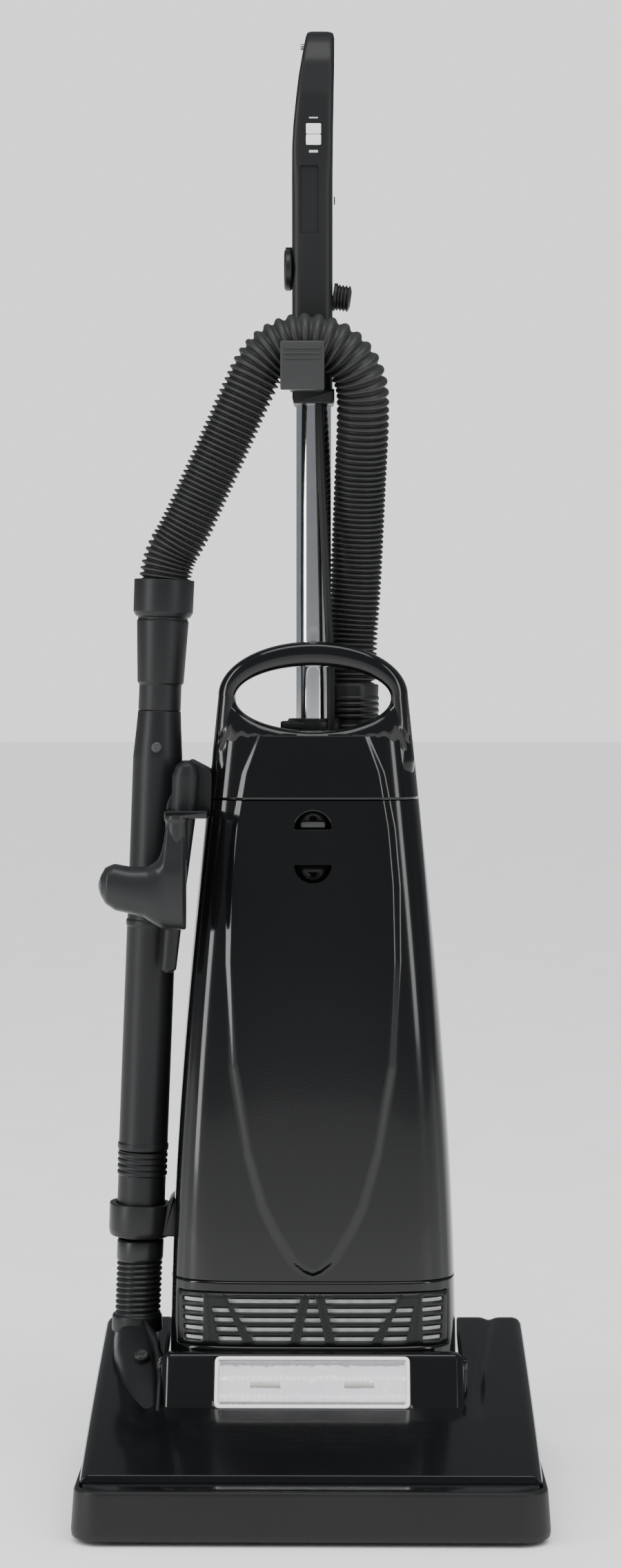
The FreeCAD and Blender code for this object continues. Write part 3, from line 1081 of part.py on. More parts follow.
node("wand_button", cut("button_cap", button, turned("button_seat", [
    ("0", "dim.ferrule_level"), ("dim.wand_radius - 0.8", "dim.ferrule_level"),
    ("dim.wand_radius - 0.8", "dim.wand_top"), ("0", "dim.wand_top")], WAND_FOOT, LEAN)))

clip_centre = ("dim.wand_foot_x + (dim.clip_low - dim.wand_foot_z + 13) * sin(dim.wand_tilt)", "dim.wand_y")
clip_ring = rod("clip_ring", "z", "dim.clip_radius", "dim.clip_low", "dim.clip_high", clip_centre)
clip_arm = box("clip_arm", (clip_centre[0], "-dim.waist_half_width + 1"),
               ("dim.door_split + 2", "dim.wand_y + 16"), ("dim.clip_low", "dim.clip_high + 12"))
clip_hole = turned("clip_hole", [("0", "-20"), ("dim.socket_radius", "-20"), ("dim.socket_radius", "90"),
                                 ("0", "90")], WAND_FOOT, LEAN)
node("wand_clip", cut("clip", fuse("clip_blank", clip_ring, clip_arm), clip_hole, canister_volume))

# ---------------------------------------------------------------- duct elbow and lower hose

ELBOW = ("dim.wand_foot_x - 2.5", "dim.wand_y")
elbow_x, elbow_y = size("wand_foot_x") - 2.5, size("wand_y")
elbow_radius = size("elbow_radius")
nose, top = size("elbow_nose"), size("elbow_top")
fairing_corners = [
    Vector(elbow_x - 15, nose, 66), Vector(elbow_x - 15, nose, 80),
    Vector(elbow_x - 15, elbow_y - elbow_radius + 4, top - 4), Vector(elbow_x - 15, elbow_y, top - 4),
    Vector(elbow_x - 15, elbow_y, 90)]
fairing = Part.Face(Part.makePolygon(fairing_corners + fairing_corners[:1])).extrude(Vector(30, 0, 0))
elbow_base = Part.makeCylinder(elbow_radius, top - 92, Vector(elbow_x, elbow_y, 92))
elbow_blank = formed("elbow_blank", elbow_base.fuse(fairing))
elbow_bore = rod("elbow_bore", "z", "dim.duct_bore", "60", "dim.elbow_top + 1", ELBOW)
hood_volume = formed("hood_volume", hood_outer)
node("duct_elbow", cut("elbow", elbow_blank, elbow_bore, hood_volume))

lower_profile = [("dim.duct_bore", "0"), ("dim.duct_radius", "0"),
                 ("dim.duct_radius", "dim.wand_foot_z - dim.elbow_top - 1"),
                 ("dim.duct_bore", "dim.wand_foot_z - dim.elbow_top - 1")]
node("lower_hose", turned("lower_duct", lower_profile, ("dim.wand_foot_x - 1.2", "dim.wand_y", "dim.elbow_top")))

# ---------------------------------------------------------------- tools on board

holder_inner = "-dim.seam_half_width + 5"
holder_web = box("holder_web", ("dim.tool_x + 4", holder_inner), ("dim.crevice_y + 6", "dim.door_split + 16"),
                 ("dim.tool_neck_top - 1", "dim.tool_neck_top + 41"))
holder_bridge = box("holder_bridge", ("dim.tool_x - dim.tool_neck_radius", holder_inner),
                    ("dim.tool_y - dim.tool_neck_radius", "dim.crevice_y + 12"),
                    ("dim.tool_neck_top + 1", "dim.tool_neck_top + 9"))
holder_peg = rod("holder_peg", "z", "dim.tool_peg_radius", "dim.tool_neck_top - 26", "dim.tool_neck_top + 5",
                 ("dim.tool_x", "dim.tool_y"))
wand_start = Vector(size("wand_foot_x"), size("wand_y"), size("wand_foot_z"))
wand_clear = formed("wand_clear", Part.makeCylinder(
    size("wand_radius") + size("body_gap"), size("grip_top"), wand_start, LEAN.multVec(Vector(0, 0, 1))))
crevice_clear = formed("crevice_clear", Part.makeCylinder(
    size("crevice_radius") + size("body_gap"), 80,
    Vector(size("crevice_x"), size("crevice_y"), size("crevice_top") - 62)))
node("tool_holder", cut("holder", fuse("holder_blank", holder_web, holder_bridge, holder_peg),
                        canister_volume, crevice_clear, wand_clear))

tool_x, tool_y = size("tool_x"), size("tool_y")
tool_bottom, tool_left = size("tool_bottom"), size("tool_left")
mouth_height, horn_radius = size("tool_mouth_height"), size("tool_horn_radius")
horn_level = tool_bottom + mouth_height + 3
neck = Part.makeCylinder(size("tool_neck_radius"), size("tool_neck_top") - tool_bottom - mouth_height / 2,
                         Vector(tool_x, tool_y, tool_bottom + mouth_height / 2))
mouth_half = size("tool_mouth_depth") / 2
mouth = block_shape((tool_x - 16, tool_x + size("tool_neck_radius") - 0.5),
                    (tool_y - mouth_half, tool_y + mouth_half), (tool_bottom, tool_bottom + mouth_height))
horn = Part.makeCylinder(horn_radius, tool_x - tool_left - horn_radius,
                         Vector(tool_left + horn_radius, tool_y, horn_level), Vector(1, 0, 0))
horn_end = Part.makeSphere(horn_radius, Vector(tool_left + horn_radius, tool_y, horn_level))
tool_hollow = Part.makeCylinder(size("tool_peg_radius") + size("body_gap"), 90,
                                Vector(tool_x, tool_y, size("tool_neck_top") - 30))
upholstery = mouth.fuse(neck).fuse(horn).fuse(horn_end).cut(tool_hollow)
node("upholstery_tool", formed("upholstery", upholstery.removeSplitter()))

crevice_ends = []
for level, x, half_x, half_y in ((size("crevice_tip"), size("crevice_tip_x"), 6.5, 4),
                                 (size("crevice_top") - 45, size("crevice_x"), size("crevice_radius") - 1, 8),
                                 (size("crevice_top"), size("crevice_x"), size("crevice_radius"), 9)):
    centre = Vector(x, size("crevice_y"), level)
    oval = Part.Ellipse(centre + Vector(half_x, 0, 0), centre + Vector(0, half_y, 0), centre)
    crevice_ends.append(Part.Wire(oval.toShape()))
node("crevice_tool", formed("crevice", Part.makeLoft(crevice_ends, True, True)))

# ---------------------------------------------------------------- suction hose and handle lead

HOSE_ROUTE = [
    (31.0, 121.0, 645.0), (31.0, 121.0, 680.0), (34.5, 114.0, 725.0), (36.6, 104.0, 772.0),
    (38.5, 91.0, 818.0), (40.6, 77.0, 858.0), (40.2, 63.5, 895.0), (19.8, 56.5, 919.6),
    (-11.4, 55.0, 926.3), (-39.8, 56.0, 912.1), (-56.0, 58.5, 877.0), (-73.5, 62.5, 838.0),
    (-90.0, 66.0, 803.0), (-104.5, 68.8, 771.5), (-121.2, 72.0, 743.6),
    (-122.2, 72.0, 719.8)]
LEAD_ROUTE = [
    (5.0, 76.5, 874.0), (5.6, 76.2, 838.0), (8.2, 76.4, 785.0), (10.6, 76.1, 728.0),
    (13.6, 76.8, 672.0), (14.4, 77.4, 636.0), (14.2, 77.4, 604.0)]
ARC_SHARE = 0.45


def cord_tube(name, route, radius, bore=0.0):
    """A tube along straight runs joined by tangent arcs, one arc at each inner point."""
    points = [Vector(*place) for place in route]
    edges = []
    start = points[0]
    radii = []
    for before, corner, after in zip(points, points[1:], points[2:]):
        arrive = (corner - before).normalize()
        leave = (after - corner).normalize()
        shorter = min((corner - before).Length, (after - corner).Length)
        setback = ARC_SHARE * shorter
        half_turn = arrive.getAngle(leave) / 2
        radii.append(setback / math.tan(half_turn))
        first, last = corner - arrive * setback, corner + leave * setback
        inward = (leave - arrive).normalize()
        centre_line = corner + inward * (radii[-1] / math.cos(half_turn) - radii[-1])
        edges.append(Part.LineSegment(start, first).toShape())
        edges.append(Part.Arc(first, centre_line, last).toShape())
        start = last
    edges.append(Part.LineSegment(start, points[-1]).toShape())
    path = Part.Wire(edges)
    heading = points[1] - points[0]

    def swept(section_radius):
        ring = Part.Wire(Part.makeCircle(section_radius, points[0], heading))
        return path.makePipeShell([ring], True, True)
    tube = swept(radius)
    if bore:
        tube = tube.cut(swept(bore))
    area = math.pi * (radius ** 2 - bore ** 2)
    print(name, "length", round(path.Length, 1), "smallest radius", round(min(radii), 1),
          "volume / (section x length)", round(tube.Volume / (area * path.Length), 4))
    return tube


hose_shape = cord_tube("suction_hose", HOSE_ROUTE, size("hose_radius"), size("hose_bore"))
node("suction_hose", formed("hose", hose_shape))
node("handle_lead", formed("lead", cord_tube("handle_lead", LEAD_ROUTE, size("lead_radius"))))

# ---------------------------------------------------------------- check and write

doc.recompute()
for item in doc.Objects:
    broken = [state for state in item.State if state in ("Invalid", "Error")]
    if broken:
        raise RuntimeError(f"{item.Name} ({item.Label}) is {broken}")
unsound = [name for name, piece in NODES.items()
           if piece.Shape.isNull() or not piece.Shape.isValid() or not piece.Shape.Solids]
if unsound:
    raise RuntimeError(f"no valid solid: {unsound}")
os.makedirs("parts", exist_ok=True)
for name, piece in NODES.items():
    piece.Shape.exportStep(os.path.join("parts", f"{name}.step"))
print(len(NODES), "sub-parts written")
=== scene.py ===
import math

import bmesh
import bpy
import numpy as np
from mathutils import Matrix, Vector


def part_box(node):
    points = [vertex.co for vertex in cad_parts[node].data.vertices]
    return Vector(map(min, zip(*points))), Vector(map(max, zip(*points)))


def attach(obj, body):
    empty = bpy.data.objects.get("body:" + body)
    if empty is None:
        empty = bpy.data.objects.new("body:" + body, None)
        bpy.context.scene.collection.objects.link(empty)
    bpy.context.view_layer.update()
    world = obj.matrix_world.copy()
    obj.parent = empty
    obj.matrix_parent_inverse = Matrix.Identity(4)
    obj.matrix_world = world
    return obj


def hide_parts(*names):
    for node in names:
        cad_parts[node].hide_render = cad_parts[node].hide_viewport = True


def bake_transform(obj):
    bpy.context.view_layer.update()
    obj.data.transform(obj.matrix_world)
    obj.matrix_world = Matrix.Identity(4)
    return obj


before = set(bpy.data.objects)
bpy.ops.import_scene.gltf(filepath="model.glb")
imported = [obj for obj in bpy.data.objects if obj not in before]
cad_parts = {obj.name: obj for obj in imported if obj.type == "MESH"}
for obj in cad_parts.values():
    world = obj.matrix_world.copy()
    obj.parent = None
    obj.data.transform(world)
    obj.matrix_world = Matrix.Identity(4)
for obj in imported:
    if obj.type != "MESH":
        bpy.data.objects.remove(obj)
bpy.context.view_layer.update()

MM = 0.001

# ---- Studio: soft lamps to the left, right and above before a plain pale backdrop, and a long lens at hip
# height, a little to the right of the machine and tipped down at it.

cam_data = bpy.data.cameras.new("studio_camera")
cam_data.lens = 69.8
cam_data.sensor_width = 36.0
cam_data.clip_end = 60.0
camera = bpy.data.objects.new("studio_camera", cam_data)
camera.location = (0.0224, -2.416, 0.660)
PITCH_DOWN, YAW_LEFT = math.radians(2.22), math.radians(0.57)
camera.rotation_euler = (math.pi / 2 - PITCH_DOWN, 0.0, YAW_LEFT)
bpy.context.scene.collection.objects.link(camera)
bpy.context.scene.camera = camera


def lamp(name, place, aim, size, power, colour=(1.0, 1.0, 1.0)):
    """A rectangular softbox at place that faces aim; size is its width and height."""
    data = bpy.data.lights.new(name, "AREA")
    data.shape = "RECTANGLE"
    data.size, data.size_y = size
    data.energy = power
    data.color = colour
    holder = bpy.data.objects.new(name, data)
    holder.location = place
    away = np.array(place) - np.array(aim)
    away = away / np.linalg.norm(away)
    holder.rotation_euler = (math.acos(away[2]), 0.0, math.atan2(away[0], -away[1]))
    bpy.context.scene.collection.objects.link(holder)
    return holder


MIDDLE = (0.0, 0.0, 0.5)
lamp("softbox_left", (-2.6, -1.5, 1.3), MIDDLE, (0.7, 2.4), 44)
lamp("softbox_right", (2.4, -2.2, 1.5), MIDDLE, (0.5, 2.2), 22)
lamp("softbox_top", (0.1, -0.9, 2.9), MIDDLE, (2.4, 1.2), 34)

sky = bpy.data.lights.new("ceiling_bounce", "SUN")
sky.energy = 4.0
sky.angle = math.radians(100)
ceiling_bounce = bpy.data.objects.new("ceiling_bounce", sky)
ceiling_bounce.rotation_euler = (math.radians(12), 0.0, 0.0)
ceiling_bounce.visible_glossy = False
bpy.context.scene.collection.objects.link(ceiling_bounce)

world = bpy.data.worlds.new("studio")
bpy.context.scene.world = world
world.use_nodes = True
tree = world.node_tree
surround = tree.nodes["Background"]
surround.inputs["Color"].default_value = (0.9, 0.95, 1.0, 1.0)
surround.inputs["Strength"].default_value = 0.24
backdrop = tree.nodes.new("ShaderNodeBackground")
backdrop.inputs["Color"].default_value = (1.0, 1.0, 1.0, 1.0)
backdrop.inputs["Strength"].default_value = 1.45
seen = tree.nodes.new("ShaderNodeLightPath")
either = tree.nodes.new("ShaderNodeMixShader")
tree.links.new(seen.outputs["Is Camera Ray"], either.inputs["Fac"])
tree.links.new(surround.outputs["Background"], either.inputs[1])
tree.links.new(backdrop.outputs["Background"], either.inputs[2])
tree.links.new(either.outputs["Shader"], tree.nodes["World Output"].inputs["Surface"])


# ---- Suction hose: blown plastic with ring ribs, from the port on the cap up over the handle's hose rest
# and down to the wand. It is stretched where it goes over the top, so its ribs stand apart there.


def surface(name, points, around=False, along=False, caps=False, keep=None, crisp=40.0):
    """A mesh over a grid of points, points[row, column]: each cell between four neighbours is a face.
    around joins the last column to the first, along the last row to the first, caps closes both end rows,
    and keep is a grid of flags for the cells that stay. Edges sharper than crisp degrees stay crisp."""
    points = np.asarray(points, float)
    rows, columns = points.shape[:2]
    index = np.arange(rows * columns).reshape(rows, columns)
    if along:
        index = np.vstack([index, index[:1]])
    if around:
        index = np.hstack([index, index[:, :1]])
    cells = np.stack([index[:-1, :-1], index[:-1, 1:], index[1:, 1:], index[1:, :-1]], -1)
    cells = cells.reshape(-1, 4) if keep is None else cells[keep]
    faces = cells.tolist()
    if caps:
        faces += [index[0, :columns].tolist(), index[-1, :columns].tolist()]
    mesh = bpy.data.meshes.new(name)
    mesh.from_pydata(points.reshape(-1, 3).tolist(), [], faces)
    shape = bmesh.new()
    shape.from_mesh(mesh)
    loose = [corner for corner in shape.verts if not corner.link_faces]
    bmesh.ops.delete(shape, geom=loose, context="VERTS")
    bmesh.ops.remove_doubles(shape, verts=shape.verts, dist=1e-6)
    bmesh.ops.recalc_face_normals(shape, faces=shape.faces)
    shape.to_mesh(mesh)
    shape.free()
    mesh.shade_smooth()
    mesh.set_sharp_from_angle(angle=math.radians(crisp))
    piece = bpy.data.objects.new(name, mesh)
    bpy.context.scene.collection.objects.link(piece)
    return piece


def finished(piece, body, slot, material, *nodes):
    """Gives a piece its material and the body it moves with, and hides the nodes that it stands for. slot is
    not used.
    """
    piece.data.materials.clear()
    piece.data.materials.append(material)
    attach(piece, body)
    if nodes:
        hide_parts(*nodes)
    return piece


def refinished(material, *nodes):
    """Gives carried-over nodes a material."""
    for name in nodes:
        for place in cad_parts[name].material_slots:
            place.material = material


def plastic(name, colour, roughness, grain, grain_size, mottle=0.25, coat=0.0, metallic=0.0):
    """A moulded finish. Roughness drifts with broad soft noise, colour drifts by a share, mottle, of itself,
    and fine noise of grain_size metres raises the surface by grain metres."""
    made = bpy.data.materials.new(name)
    made.use_nodes = True
    nodes, links = made.node_tree.nodes, made.node_tree.links
    shader = nodes["Principled BSDF"]
    shader.inputs["Metallic"].default_value = metallic
    shader.inputs["Specular IOR Level"].default_value = 0.34
    shader.inputs["Coat Weight"].default_value = coat
    shader.inputs["Coat Roughness"].default_value = 0.05
    place = nodes.new("ShaderNodeTexCoord")
    broad = nodes.new("ShaderNodeTexNoise")
    broad.inputs["Scale"].default_value = 9.0
    broad.inputs["Detail"].default_value = 4.0
    links.new(place.outputs["Object"], broad.inputs["Vector"])
    tint = nodes.new("ShaderNodeMix")
    tint.data_type = "RGBA"
    tint.inputs[6].default_value = (*[c * (1 - mottle) for c in colour], 1.0)
    tint.inputs[7].default_value = (*[c * (1 + mottle) for c in colour], 1.0)
    links.new(broad.outputs["Fac"], tint.inputs[0])
    links.new(tint.outputs[2], shader.inputs["Base Color"])
    sheen = nodes.new("ShaderNodeMapRange")
    sheen.inputs["To Min"].default_value = roughness * 0.8
    sheen.inputs["To Max"].default_value = roughness * 1.25
    links.new(broad.outputs["Fac"], sheen.inputs["Value"])
    links.new(sheen.outputs["Result"], shader.inputs["Roughness"])
    fine = nodes.new("ShaderNodeTexNoise")
    fine.inputs["Scale"].default_value = 1.0 / grain_size
    fine.inputs["Detail"].default_value = 2.0
    links.new(place.outputs["Object"], fine.inputs["Vector"])
    relief = nodes.new("ShaderNodeBump")
    relief.inputs["Distance"].default_value = grain
    links.new(fine.outputs["Fac"], relief.inputs["Height"])
    links.new(relief.outputs["Normal"], shader.inputs["Normal"])
    return made


def drawn_line(name, route):
    """A smooth line that the points of route pull into shape, without a thickness."""
    curve = bpy.data.curves.new(name, "CURVE")
    curve.dimensions = "3D"
    curve.resolution_u = 24
    spline = curve.splines.new("NURBS")
    spline.points.add(len(route) - 1)
    for point, place in zip(spline.points, route):
        point.co = (*place, 1.0)
    spline.order_u = 3
    spline.use_endpoint_u = True
    return bpy.data.objects.new(name, curve)


def points_on(line):
    """The points that a drawn line passes, in order, as an array."""
    bpy.context.scene.collection.objects.link(line)
    reading = bpy.data.meshes.new_from_object(line.evaluated_get(bpy.context.evaluated_depsgraph_get()))
    passed = np.empty(len(reading.vertices) * 3)
    reading.vertices.foreach_get("co", passed)
    bpy.data.meshes.remove(reading)
    bpy.data.objects.remove(line)
    return passed.reshape(-1, 3)


def along_path(path, at):
    """Places at the distances at along a path of points, and the path's whole length."""
    steps = np.linalg.norm(np.diff(path, axis=0), axis=1)
    gone = np.concatenate([[0.0], np.cumsum(steps)])
    places = np.stack([np.interp(at * gone[-1], gone, path[:, axis]) for axis in range(3)], 1)
    return places, gone[-1]


def frames_along(places):
    """A direction and two cross directions at each place, turned as little as possible from place to
    place."""
    heading = np.gradient(places, axis=0)
    heading /= np.linalg.norm(heading, axis=1, keepdims=True)
    side = np.empty_like(heading)
    first = np.cross(heading[0], (0.0, 1.0, 0.0))
    side[0] = first / np.linalg.norm(first)
    for i in range(1, len(heading)):
        carried = side[i - 1] - heading[i] * (side[i - 1] @ heading[i])
        side[i] = carried / np.linalg.norm(carried)
    return heading, side, np.cross(heading, side)


def tube_points(places, radii, columns=48):
    """Rings of columns points about a path, each with its own radius."""
    _, side, up = frames_along(places)
    turn = np.linspace(0, 2 * math.pi, columns, endpoint=False)[None, :, None]
    return places[:, None] + radii[:, None, None] * (np.cos(turn) * side[:, None] + np.sin(turn) * up[:,
                                                                                                      None])


HOSE_ROUTE = [
    (0.0310, 0.1210, 0.6450), (0.0310, 0.1210, 0.6800), (0.0345, 0.1140, 0.7250), (0.0366, 0.1040, 0.7720),
    (0.0385, 0.0910, 0.8180), (0.0406, 0.0770, 0.8580), (0.0402, 0.0635, 0.8950), (0.0198, 0.0565, 0.9196),
    (-0.0114, 0.0550, 0.9263), (-0.0398, 0.0560, 0.9121), (-0.0560, 0.0585, 0.8770),
    (-0.0735, 0.0625, 0.8380),
    (-0.0900, 0.0660, 0.8030), (-0.1045, 0.0688, 0.7715), (-0.1212, 0.0720, 0.7436),
    (-0.1222, 0.0720, 0.7198)]
HOSE_LENGTH = 0.562
HOSE_RADIUS = 21.5 * MM
RIB_DEPTH = 3.6 * MM
TIGHT_PITCH, OPEN_PITCH = 4.3 * MM, 8.4 * MM
ARCH_AT, ARCH_SPREAD = 0.52, 0.13
RINGS_PER_RIB = 9

hose_plastic = plastic("charcoal_hose_plastic", (0.020, 0.021, 0.020), 0.42, 0.05 * MM, 0.6 * MM)
hose_line = points_on(drawn_line("hose_line", HOSE_ROUTE))
share = np.linspace(0, 1, 3000)
pitch = TIGHT_PITCH + (OPEN_PITCH - TIGHT_PITCH) * np.exp(-((share - ARCH_AT) / ARCH_SPREAD) ** 2)
ribs = np.concatenate([[0.0], np.cumsum(HOSE_LENGTH / pitch[:-1] * np.diff(share))])
rib_count = round(ribs[-1])
phase = np.linspace(0, ribs[-1], rib_count * RINGS_PER_RIB + 1)
at = np.interp(phase, ribs, share)
hose_places, _ = along_path(hose_line, at)
# the radius is a flat-topped wave: a rounded crest takes up over half of each rib
crest = 0.5 + 0.5 * np.cos(2 * math.pi * phase * rib_count / ribs[-1])
narrow = np.interp(at, (0.0, 0.02, 0.98, 1.0), (1.5 * MM, 0.0, 0.0, 1.5 * MM))
hose_radii = HOSE_RADIUS - narrow - RIB_DEPTH * (1 - crest) ** 1.5
hose = surface("corrugated_suction_hose", tube_points(hose_places, hose_radii), around=True, crisp=80)
hose.data.materials.append(hose_plastic)
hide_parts("suction_hose")
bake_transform(hose)

# ---- Handle lead: a round rubber cable from the foot of the handle down to the motor's side of the cap,
# held straight beside the tube.

LEAD_ROUTE = [
    (0.0050, 0.0765, 0.8740), (0.0056, 0.0762, 0.8380), (0.0082, 0.0764, 0.7850), (0.0106, 0.0761, 0.7280),
    (0.0136, 0.0768, 0.6720), (0.0144, 0.0774, 0.6360), (0.0142, 0.0774, 0.6040)]
LEAD_RADIUS = 3.25 * MM

lead_rubber = plastic("lead_rubber", (0.006, 0.006, 0.006), 0.5, 0.04 * MM, 0.5 * MM)
lead = drawn_line("handle_cable", LEAD_ROUTE)
bpy.context.scene.collection.objects.link(lead)
lead.data.bevel_depth = LEAD_RADIUS
lead.data.bevel_resolution = 6
finished(lead, "canister", "lead_rubber", lead_rubber, "handle_lead")

# ---- Hood of the floor nozzle: one glossy moulding, flat and sloping, with eased sides, a stepped ledge
# over the bumper and a square bay behind for the canister. It drops onto the chassis.

gloss_black = plastic("gloss_black_plastic", (0.0042, 0.0044, 0.0048), 0.13, 0.012 * MM, 1.6 * MM, coat=0.22)

HOOD_FRONT, HOOD_REAR = -0.160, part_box("nozzle_hood")[1].y
HALF_FRONT, HALF_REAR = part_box("nozzle_hood")[1].x, 0.175
CORNER = 23 * MM
HOOD_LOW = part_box("nozzle_hood")[0].z
LEDGE_LOW, LEDGE_HIGH = 40 * MM, 42.5 * MM
CREASE_Y, CREASE_Z = -0.133, 47.2 * MM
REAR_Z = 112.5 * MM
CROWN = 3 * MM
SIDE_EASE = 9 * MM
BAY_HALF, BAY_FRONT = 0.121, -0.002
GUTTER_DEPTH, GUTTER_WIDTH = 2.2 * MM, 4.5 * MM


def hood_half(y):
    """Half width of the hood at y: straight sides that close in to the rear, quarter circles at
    the front."""
    straight = np.interp(y, (HOOD_FRONT, HOOD_REAR), (HALF_FRONT, HALF_REAR))
    into_corner = np.clip(CORNER - (y - HOOD_FRONT), 0, CORNER)
    return straight - CORNER + np.sqrt(CORNER ** 2 - into_corner ** 2)


def hood_top(y):
    """Height along the middle: a ledge, a step with a rounded edge, then a slope crowned by a parabola."""
    ledge = np.interp(y, (HOOD_FRONT, CREASE_Y), (LEDGE_LOW, LEDGE_HIGH))
    run = np.clip((y - CREASE_Y) / (HOOD_REAR - CREASE_Y), 0, 1)
    slope = CREASE_Z + (REAR_Z - CREASE_Z) * run + 4 * CROWN * run * (1 - run)
    rise = np.clip((y - CREASE_Y + 2.2 * MM) / (2.2 * MM), 0, 1)
    return ledge + (slope - ledge) * np.sqrt(1 - (1 - rise) ** 2)


def hood_height(x, y):
    """The top line, less a quarter-circle fall near the plan outline, less a gutter beside the headlight."""
    inside_side = hood_half(y) - np.abs(x)
    inside_front = y - HOOD_FRONT
    corner_x, corner_y = CORNER - inside_side, CORNER - inside_front
    inside = np.where((corner_x > 0) & (corner_y > 0),
                      CORNER - np.hypot(np.clip(corner_x, 0, None), np.clip(corner_y, 0, None)),
                      np.minimum(inside_side, inside_front))
    near = np.clip(SIDE_EASE - inside, 0, SIDE_EASE)
    fall = SIDE_EASE - np.sqrt(SIDE_EASE ** 2 - near ** 2)
    fall = fall * np.interp(y, (HOOD_FRONT, CREASE_Y), (0.25, 1.0))
    gutter_line = BAY_HALF + 10 * MM + 16 * MM * np.clip((y + 0.045) / 0.17, 0, 1) ** 1.5
    gutter = np.exp(-((np.abs(x) - gutter_line) / GUTTER_WIDTH) ** 2) * np.clip((y + 0.055) / 0.05, 0, 1)
    return hood_top(y) - fall - GUTTER_DEPTH * gutter


rows = np.unique(np.concatenate([
    HOOD_FRONT + CORNER * (1 - np.cos(np.linspace(0, math.pi / 2, 14))),
    np.linspace(CREASE_Y - 2.2 * MM, CREASE_Y, 7),
    [CREASE_Y + 0.6 * MM, BAY_FRONT], np.linspace(CREASE_Y + 3 * MM, HOOD_REAR, 84)]))
across = np.concatenate([[BAY_HALF], np.linspace(0, BAY_HALF - 2 * MM, 40),
                         np.linspace(BAY_HALF + 1.5 * MM, HALF_FRONT - SIDE_EASE, 26),
                         HALF_FRONT - SIDE_EASE * (1 - np.sin(np.linspace(0.1, math.pi / 2, 12)))])
across = np.unique(np.round(np.concatenate([-across, across]), 6))
full_half = HALF_FRONT
INNER = 0.130
beyond = np.clip((np.abs(across) - INNER) / (full_half - INNER), 0, 1) * np.sign(across)
hood_x = across[None, :] + (hood_half(rows)[:, None] - full_half) * beyond[None, :]
hood_y = np.broadcast_to(rows[:, None], hood_x.shape)
hood_points = np.stack([hood_x, hood_y, hood_height(hood_x, hood_y)], -1)
in_bay = (np.abs(across[:-1] + across[1:]) / 2 < BAY_HALF)[None, :] & (rows[:-1] >= BAY_FRONT - 1e-9)[:,
                                                                                                      None]
hood = surface("glossy_hood", hood_points, keep=~in_bay, crisp=50)
finished(hood, "floor_nozzle", "gloss_black", gloss_black, "nozzle_hood")
wall = hood.modifiers.new("wall", "SOLIDIFY")
wall.thickness = 3 * MM
wall.offset = -1

# the skirt follows the plan outline from one rear corner round the front to the other, and the bay has its
# own
edge_side = hood_points[:, -1]
outline = np.concatenate([hood_points[::-1, 0], hood_points[0, 1:-1], edge_side])
skirt_heights = np.linspace(1, 0, 6)[:, None, None]
skirt_points = np.repeat(outline[None], 6, 0)
skirt_points[..., 2] = HOOD_LOW + (outline[None, :, 2] - HOOD_LOW) * skirt_heights[..., 0]
skirt = surface("hood_skirt", skirt_points, crisp=35)
finished(skirt, "floor_nozzle", "gloss_black", gloss_black)
wall = skirt.modifiers.new("wall", "SOLIDIFY")
wall.thickness = 3 * MM
wall.offset = -1
rear = HOOD_REAR
bay_outline = np.array([(-HALF_REAR + 4 * MM, rear), (-BAY_HALF, rear), (-BAY_HALF, BAY_FRONT),
                        (BAY_HALF, BAY_FRONT), (BAY_HALF, rear), (HALF_REAR - 4 * MM, rear)])
bay_line = np.concatenate([np.linspace(a, b, 24) for a, b in zip(bay_outline[:-1], bay_outline[1:])])
bay_top = hood_height(bay_line[:, 0] * 1.0, bay_line[:, 1]) - 0.8 * MM
bay_points = np.stack([np.column_stack([bay_line, HOOD_LOW + (bay_top - HOOD_LOW) * h])
                       for h in np.linspace(1, 0, 5)])
bay = surface("hood_bay_liner", bay_points, crisp=35)
finished(bay, "floor_nozzle", "gloss_black", gloss_black)
wall = bay.modifiers.new("wall", "SOLIDIFY")
wall.thickness = 2.5 * MM
wall.offset = 0


def rounded_line(corners, ease, steps=6, closed=False):
    """Straight runs through corners, each corner eased by a parabola that starts ease before it."""
    corners = np.asarray(corners, float)
    count = len(corners)
    ease = np.broadcast_to(ease, count)
    out = []
    for i, corner in enumerate(corners):
        if not closed and i in (0, count - 1):
            out.append(corner[None])
            continue
        back, ahead = corners[i - 1] - corner, corners[(i + 1) % count] - corner
        reach_back = min(ease[i], 0.48 * np.linalg.norm(back)) / np.linalg.norm(back)
        reach_on = min(ease[i], 0.48 * np.linalg.norm(ahead)) / np.linalg.norm(ahead)
        share = np.linspace(0, 1, steps)[:, None]
        out.append(corner + back * reach_back * (1 - share) ** 2 + ahead * reach_on * share ** 2)
    return np.concatenate(out)


# ---- Headlight housing: the raised part of the hood in front of the canister, with a leaning face that
# holds the lamp's window. Its upper edges are rounded and its sides die into the hood.

HUMP_HALF = 0.1212
HUMP_EASE = 9 * MM
LENS_TILT = math.radians(31.6)
FOOT_Y, FOOT_Z = -0.037, 0.073
HUMP_TOP = 0.112
LENS_HALF, LENS_LIFT, LENS_HIGH = 75 * MM, 3.6 * MM, 38 * MM


def on_face(height, near=0.0):
    """Y and Z of a place on the leaning face, this far up the slope and this far out in front of it."""
    return (FOOT_Y + height * math.sin(LENS_TILT) - near * math.cos(LENS_TILT),
            FOOT_Z + height * math.cos(LENS_TILT) + near * math.sin(LENS_TILT))


